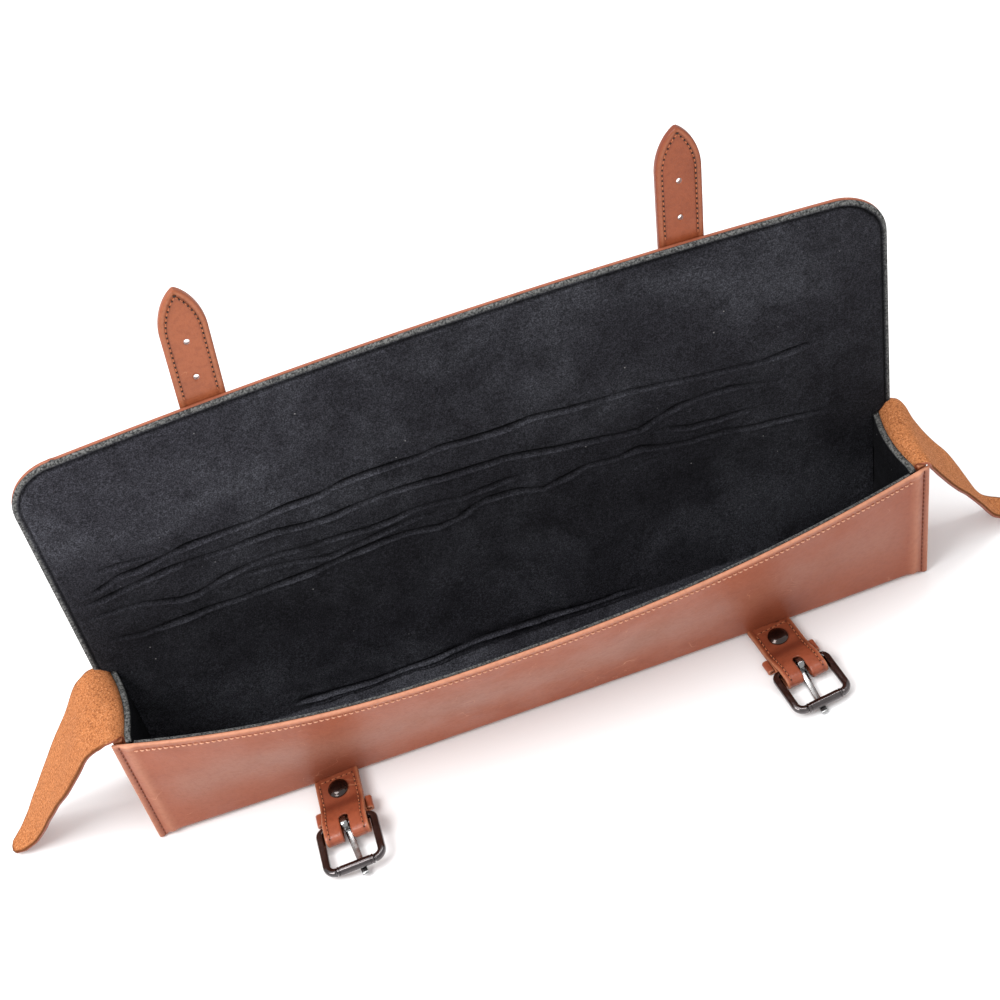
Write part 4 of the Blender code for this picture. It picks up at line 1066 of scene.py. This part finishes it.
def lathe(name, profile, place, sides=48):
    """Turned piece from (radius, height) points, open at neither end."""
    points = []
    faces = []
    for radius, level in profile:
        for k in range(sides):
            angle = 2 * math.pi * k / sides
            points.append(place(radius * math.cos(angle), radius * math.sin(angle), level))
    for r in range(len(profile) - 1):
        for k in range(sides):
            after = (k + 1) % sides
            faces.append((r * sides + k, r * sides + after, (r + 1) * sides + after, (r + 1) * sides + k))
    faces.append(tuple(range(sides)))
    faces.append(tuple(reversed(range((len(profile) - 1) * sides, len(profile) * sides))))
    return mesh_object(name, points, faces)


def section_sweep(name, path, place, sides=20, power=2.6):
    """Sweeps a rounded section along a closed path of (u, v, half width, half height)."""
    points = []
    count = len(path)
    for k in range(count):
        u, v, wide, tall = path[k]
        before, after = path[k - 1], path[(k + 1) % count]
        tangent = Vector((after[0] - before[0], after[1] - before[1])).normalized()
        over = Vector((-tangent.y, tangent.x))
        for n in range(sides):
            angle = 2 * math.pi * n / sides
            c, s = math.cos(angle), math.sin(angle)
            reach = math.copysign(abs(c) ** (2 / power), c) * wide
            rise = math.copysign(abs(s) ** (2 / power), s) * tall
            points.append(place(u + over.x * reach, v + over.y * reach, rise))
    faces = []
    for k in range(count):
        after = (k + 1) % count
        for n in range(sides):
            m = (n + 1) % sides
            faces.append((k * sides + n, k * sides + m, after * sides + m, after * sides + n))
    return mesh_object(name, points, faces)


def frame_path():
    """Closed path of the buckle's wire: heel bar, two sides, and a thin front bar under the roller."""
    side = (FRAME_INNER + FRAME_WIRE) / 2
    wide = FRAME_WIRE / 2
    half = []
    for v in np.linspace(0, side - 0.003, 8)[1:]:
        half.append((0.0, v, HEEL_BAR / 2, HEEL_BAR / 2))
    for k in range(1, 9):
        a = k * math.pi / 16
        grow = HEEL_BAR / 2 + (wide - HEEL_BAR / 2) * k / 8
        half.append((0.003 * (1 - math.cos(a)), side - 0.003 * (1 - math.sin(a)), grow, grow - 0.0001 * k / 8))
    for u in np.linspace(0.003, FRAME_PITCH - 0.0045, 12)[1:]:
        half.append((u, side, wide, 0.0020))
    for k in range(1, 11):
        a = k * math.pi / 20
        half.append((FRAME_PITCH - 0.0045 * (1 - math.sin(a)), side - 0.0045 * (1 - math.cos(a)), wide, 0.0020))
    neck = ROLLER_LENGTH / 2
    half.append((FRAME_PITCH, neck + 0.0009, 0.0020, 0.0019))
    half.append((FRAME_PITCH, neck + 0.0005, 0.0018, 0.0018))
    half.append((FRAME_PITCH, neck + 0.0002, FRONT_BAR / 2, FRONT_BAR / 2))
    for v in np.linspace(neck - 0.001, 0, 7)[:-1]:
        half.append((FRAME_PITCH, v, FRONT_BAR / 2, FRONT_BAR / 2))
    return half + [(u, -v, across, tall) for u, v, across, tall in reversed(half)]


def prong_piece(name, place):
    """Prong with a round eye and a shank that narrows to its tip."""
    eye = PRONG_EYE / 2
    top = -(ROLLER_WIDTH / 2 + GAP)
    low = top - PRONG_THICK
    tip = FRAME_PITCH + PRONG_OVER
    turns = np.linspace(math.radians(-28), math.radians(262), 28)
    outline = [(eye * math.cos(a), eye * math.sin(a)) for a in turns]
    outline += [
        (FRAME_PITCH * 0.5, low + 0.00005), (FRAME_PITCH, low), (tip - 0.0012, low + 0.0002),
        (tip - 0.0003, low + 0.0006), (tip, low + 0.0010), (tip - 0.0001, top - 0.0004),
        (tip - 0.0005, top - 0.0001), (tip - 0.0012, top), (FRAME_PITCH - 0.0035, top)]
    work = bmesh.new()
    one = [work.verts.new(place(u, -PRONG_WIDTH / 2, w)) for u, w in outline]
    two = [work.verts.new(place(u, PRONG_WIDTH / 2, w)) for u, w in outline]
    work.faces.new(one)
    work.faces.new(list(reversed(two)))
    for k in range(len(outline)):
        after = (k + 1) % len(outline)
        work.faces.new((one[k], one[after], two[after], two[k]))
    bmesh.ops.recalc_face_normals(work, faces=work.faces)
    mesh = bpy.data.meshes.new(name)
    work.to_mesh(mesh)
    work.free()
    obj = bpy.data.objects.new(name, mesh)
    bpy.context.scene.collection.objects.link(obj)
    bore = HEEL_BAR / 2 + CLEAR
    cut(obj, [lathe(name + "_bore", ((bore, -0.012), (bore, 0.012)), lambda a, b, c: place(a, c, b), 32)])
    bevel = obj.modifiers.new("bevel", "BEVEL")
    bevel.width = 0.00035
    bevel.segments = 2
    bevel.limit_method = "ANGLE"
    bevel.angle_limit = math.radians(50)
    baked(obj)
    obj.data.shade_smooth()
    obj.data.set_sharp_from_angle(angle=math.radians(40))
    return obj


for side_name, along, turn, roll, lift, skew in TABS:
    root = Vector((along, float(front_y(along, FOLD)), lift))
    out = Vector((math.sin(turn), -math.cos(turn), 0.0))
    level_axis = Vector((math.cos(turn), math.sin(turn), 0.0))
    upright = Vector((0.0, 0.0, 1.0))
    across_axis = level_axis * math.cos(roll) + upright * math.sin(roll)
    up = upright * math.cos(roll) - level_axis * math.sin(roll)

    def on_tab(u, v, w):
        return root + out * u + across_axis * v + up * w

    def at_rivet(u, v, w):
        return on_tab(RIVET_AT + u, v, RIVET_HEIGHT + w)

    def on_frame(u, v, w):
        return on_tab(
            HEEL_DISTANCE + u * math.cos(FRAME_TILT) + w * math.sin(FRAME_TILT), v,
            HEEL_HEIGHT + w * math.cos(FRAME_TILT) - u * math.sin(FRAME_TILT))

    def on_prong(u, v, w):
        offset = -math.copysign(PRONG_OFFSET, skew)
        turned = u * math.cos(skew) - v * math.sin(skew)
        return on_frame(turned, offset + u * math.sin(skew) + v * math.cos(skew), w)

    # Tab: one strip folded round the heel bar
    knots = tab_path()
    line = even(spline(knots, np.linspace(0, 1, 400)), 170)
    inner_side = strip_sides(line)
    travel = np.concatenate([[0], np.cumsum(np.linalg.norm(np.diff(line, axis=0), axis=1))])
    steps = across_steps(33)
    near = np.zeros((len(line), len(steps), 3))
    far = np.zeros_like(near)
    pale = np.zeros(near.shape[:2])
    shade = np.zeros(near.shape[:2])
    for i, (u, w) in enumerate(line):
        below = i > len(line) * 0.53
        for j, step in enumerate(steps):
            v = TAB_WIDTH / 2 * step
            edge = TAB_WIDTH / 2 * (1 - abs(step))
            groove = math.exp(-((edge - TAB_SEAM_IN) / 0.0005) ** 2)
            sink = float(rounded(np.array(edge), 0.0008)) + 0.00022 * groove
            du, dw = inner_side[i]
            shift = v * math.tan(turn) if u < 0 else 0.0
            near[i, j] = on_tab(u + du * sink + shift, v, w + dw * sink)
            deep = TAB_LAYER - float(rounded(np.array(edge), 0.0005))
            far[i, j] = on_tab(u + du * deep + shift, v, w + dw * deep)
            # Paler edges, painted shade in the stitch grooves, a darker band before the fold and darker leather
            # round the rivet
            pale[i, j] = 0.5 * math.exp(-((edge - 0.0004) / 0.0006) ** 2)
            dark_band = math.exp(-((u - 0.0196) / 0.0036) ** 2) * (not below)
            shade[i, j] = min(1.0, 0.6 * groove + dark_band + 0.45 * math.exp(-((u - RIVET_AT) / 0.006) ** 2))
    tab = shell("tab_leather_" + side_name, near, far, {"pale": pale, "shade": shade})
    slot_cutters = []
    for slot_half, back, bottom, top_level in SLOT_CUTTERS:
        slot_line = []
        for a in np.linspace(math.pi / 2, 1.5 * math.pi, 13):
            slot_line.append((HEEL_DISTANCE - back + slot_half * (1 + math.cos(a)), slot_half * math.sin(a)))
        slot_line += [(HEEL_DISTANCE + SLOT_REACH, -slot_half), (HEEL_DISTANCE + SLOT_REACH, slot_half)]
        points = [on_tab(u, v, bottom) for u, v in slot_line] + [on_tab(u, v, top_level) for u, v in slot_line]
        count = len(slot_line)
        faces = [tuple(range(count)), tuple(reversed(range(count, 2 * count)))]
        faces += [(k, (k + 1) % count, (k + 1) % count + count, k + count) for k in range(count)]
        slot_cutters.append(mesh_object("slot_cutter", points, faces))
    post_cutter = lathe("post_cutter", ((RIVET_HOLE, -0.01), (RIVET_HOLE, 0.01)), at_rivet, 24)
    cut(tab, slot_cutters + [post_cutter])
    dress(tab, "cover", TAB_LEATHER, "tan_leather", "tab_" + side_name)

    # Stitches of the tab: a column at each side and a row at the wall
    top = line[: int(len(line) * 0.47)]
    top = top[(top[:, 0] > 0.0026)]
    places = []
    for sign in (-1, 1):
        v = sign * (TAB_WIDTH / 2 - TAB_SEAM_IN)
        path = [on_tab(u, v, w + 0.00002) for u, w in top]
        sides = strip_sides(top)
        normals = [-(out * a + up * b) for a, b in sides]
        places += along_line(path, normals, SMALL_PITCH)
    row_height = float(np.interp(0.0027, top[:, 0], top[:, 1])) + 0.00002
    row_path = [on_tab(0.0027, v, row_height) for v in np.linspace(-0.0090, 0.0090, 20)]
    places += along_line(row_path, [up] * 20, 0.0030)
    stitches("stitches_tab_" + side_name, places, 0.0022, 0.00034, THREAD_TAN)
    needle_holes("needle_holes_" + side_name, places, 0.00012, 0.0008, 0.00032)

    # Keeper: a loop under the tab
    start = TAB_WIDTH / 2 + GAP
    wide = TAB_WIDTH / 2 + KEEPER_OVERHANG
    low, high = KEEPER_LOW, KEEPER_HIGH
    keeper_end = [
        (start, high - 0.0007), (wide - 0.0014, high - 0.0007), (wide - 0.0008, high - 0.0012),
        (wide - 0.0007, (low + high) / 2), (wide - 0.0008, low + 0.0012), (wide - 0.0016, low + 0.0007)]
    centre_line = keeper_end + [(v, low + 0.0007) for v in (0.008, 0.003, -0.003, -0.008)]
    centre_line += [(-v, w) for v, w in reversed(keeper_end)]
    loop_line = even(spline(centre_line, np.linspace(0, 1, 260)), 90)
    loop_side = strip_sides(loop_line)
    from_middle = KEEPER_HALF_LENGTH * across_steps(17)
    lengths = KEEPER_START + KEEPER_HALF_LENGTH + from_middle
    edge_out = KEEPER_HALF_LENGTH - np.abs(from_middle)
    near = np.zeros((len(loop_line), len(lengths), 3))
    far = np.zeros_like(near)
    for i, (v, w) in enumerate(loop_line):
        dv, dw = loop_side[i]
        for j, u in enumerate(lengths):
            half = KEEPER_HALF_THICK - float(rounded(np.array(edge_out[j]), 0.0005))
            near[i, j] = on_tab(u, v + dv * half, w + dw * half)
            far[i, j] = on_tab(u, v - dv * half, w - dw * half)
    pale = np.broadcast_to(0.4 * np.exp(-(edge_out / 0.0006) ** 2)[None, :], near.shape[:2])
    keeper = shell("keeper_loop_" + side_name, near, far, {"pale": pale, "shade": np.zeros(near.shape[:2])})
    dress(keeper, "cover", TAB_LEATHER, "tan_leather", "keeper_" + side_name)

    # Rivet with a low dome and a turned rim
    base = TAB_THICK / 2 + GAP
    profile = [(0.0034, -base - 0.0007), (0.0042, -base - 0.0004), (0.0042, -base), (0.0016, -base)]
    profile += [(radius, base + rise) for radius, rise in (
        (0.0016, -0.0002), (0.0053, -0.0002), (0.0055, 0.0001), (0.0055, 0.0005), (0.0053, 0.0008),
        (0.0049, 0.0010), (0.0046, 0.0012), (0.0041, 0.0016), (0.0034, 0.0020), (0.0025, 0.0022),
        (0.0014, 0.0024), (0.0005, 0.0024))]
    rivet = lathe("rivet_cap_" + side_name, profile, at_rivet)
    rivet.data.set_sharp_from_angle(angle=math.radians(55))
    dress(rivet, "cover", RIVET, "dark_rivet", "rivet_" + side_name)

    # Buckle
    wire = section_sweep("buckle_wire_" + side_name, frame_path(), on_frame)
    dress(wire, side_name + "_buckle", GUNMETAL, "gunmetal", "buckle_frame_" + side_name)
    r = ROLLER_WIDTH / 2
    h = ROLLER_LENGTH / 2
    profile = [
        (0.00176, -h), (r - 0.0003, -h), (r, -h + 0.0003), (r, -h + 0.0011), (r - 0.0003, -h + 0.0013),
        (r - 0.0003, -h + 0.0016), (r, -h + 0.0018)]
    profile += [(radius, -level) for radius, level in reversed(profile)]
    roller = lathe("roller_tube_" + side_name, profile, lambda a, b, c: on_frame(FRAME_PITCH + a, c, b))
    roller.data.set_sharp_from_angle(angle=math.radians(40))
    dress(roller, side_name + "_roller", GUNMETAL, "gunmetal", "buckle_roller_" + side_name)
    prong = prong_piece("prong_bar_" + side_name, on_prong)
    dress(prong, side_name + "_prong", STEEL, "bright_steel", "buckle_prong_" + side_name)


# ---------------------------------------------------------------- stage, light, camera

FLOOR_HALF = 6.0
CAMERA_AT = (-0.0800, -0.6151, 0.8331)
CAMERA_LENS = 68.4
AZ, EL, ROLL = math.radians(-7.51), math.radians(48.18), math.radians(-13.04)
WORLD_STRENGTH = 1.02


def add_floor():
    mesh = bpy.data.meshes.new("floor")
    s = FLOOR_HALF
    mesh.from_pydata([(-s, -s, 0), (s, -s, 0), (s, s, 0), (-s, s, 0)], [], [(0, 1, 2, 3)])
    floor = bpy.data.objects.new("floor", mesh)
    bpy.context.scene.collection.objects.link(floor)
    n = Nodes("floor_white")
    floor.data.materials.append(n.finish((0.90, 0.90, 0.905), 0.75, Specular_IOR_Level=0.2))


def add_light(name, location, target, power, size, size_y):
    light = bpy.data.lights.new(name, "AREA")
    light.energy = power
    light.shape = "RECTANGLE"
    light.size = size
    light.size_y = size_y
    made = bpy.data.objects.new(name, light)
    made.location = location
    made.rotation_euler = (Vector(target) - Vector(location)).to_track_quat("-Z", "Y").to_euler()
    bpy.context.scene.collection.objects.link(made)


add_floor()
world = bpy.data.worlds.new("studio")
world.use_nodes = True
world.node_tree.nodes["Background"].inputs["Color"].default_value = (1.0, 1.0, 1.0, 1.0)
world.node_tree.nodes["Background"].inputs["Strength"].default_value = WORLD_STRENGTH
bpy.context.scene.world = world
add_light("key", (-0.85, -0.30, 1.15), (-0.05, 0.0, 0.08), 15.0, 0.7, 0.7)
add_light("top", (-0.1, 0.5, 1.9), (0.0, 0.0, 0.1), 6.0, 1.3, 1.3)
add_light("strip", (0.0, 0.35, 1.75), (0.0, -0.05, 0.0), 7.0, 1.6, 0.09)
bpy.context.scene.view_settings.view_transform = "Standard"

back_axis = Vector((math.sin(AZ) * math.cos(EL), -math.cos(AZ) * math.cos(EL), math.sin(EL)))
right_axis = Vector((0, 0, 1)).cross(back_axis).normalized()
up_axis = back_axis.cross(right_axis)
right_turned = right_axis * math.cos(ROLL) + up_axis * math.sin(ROLL)
up_turned = up_axis * math.cos(ROLL) - right_axis * math.sin(ROLL)
camera_data = bpy.data.cameras.new("camera")
camera_data.lens = CAMERA_LENS
camera_data.sensor_width = 36.0
camera_data.clip_start = 0.01
camera_data.clip_end = 50.0
camera = bpy.data.objects.new("camera", camera_data)
camera.matrix_world = Matrix((
    (right_turned.x, up_turned.x, back_axis.x, CAMERA_AT[0]),
    (right_turned.y, up_turned.y, back_axis.y, CAMERA_AT[1]),
    (right_turned.z, up_turned.z, back_axis.z, CAMERA_AT[2]),
    (0, 0, 0, 1)))
bpy.context.scene.collection.objects.link(camera)
bpy.context.scene.camera = camera
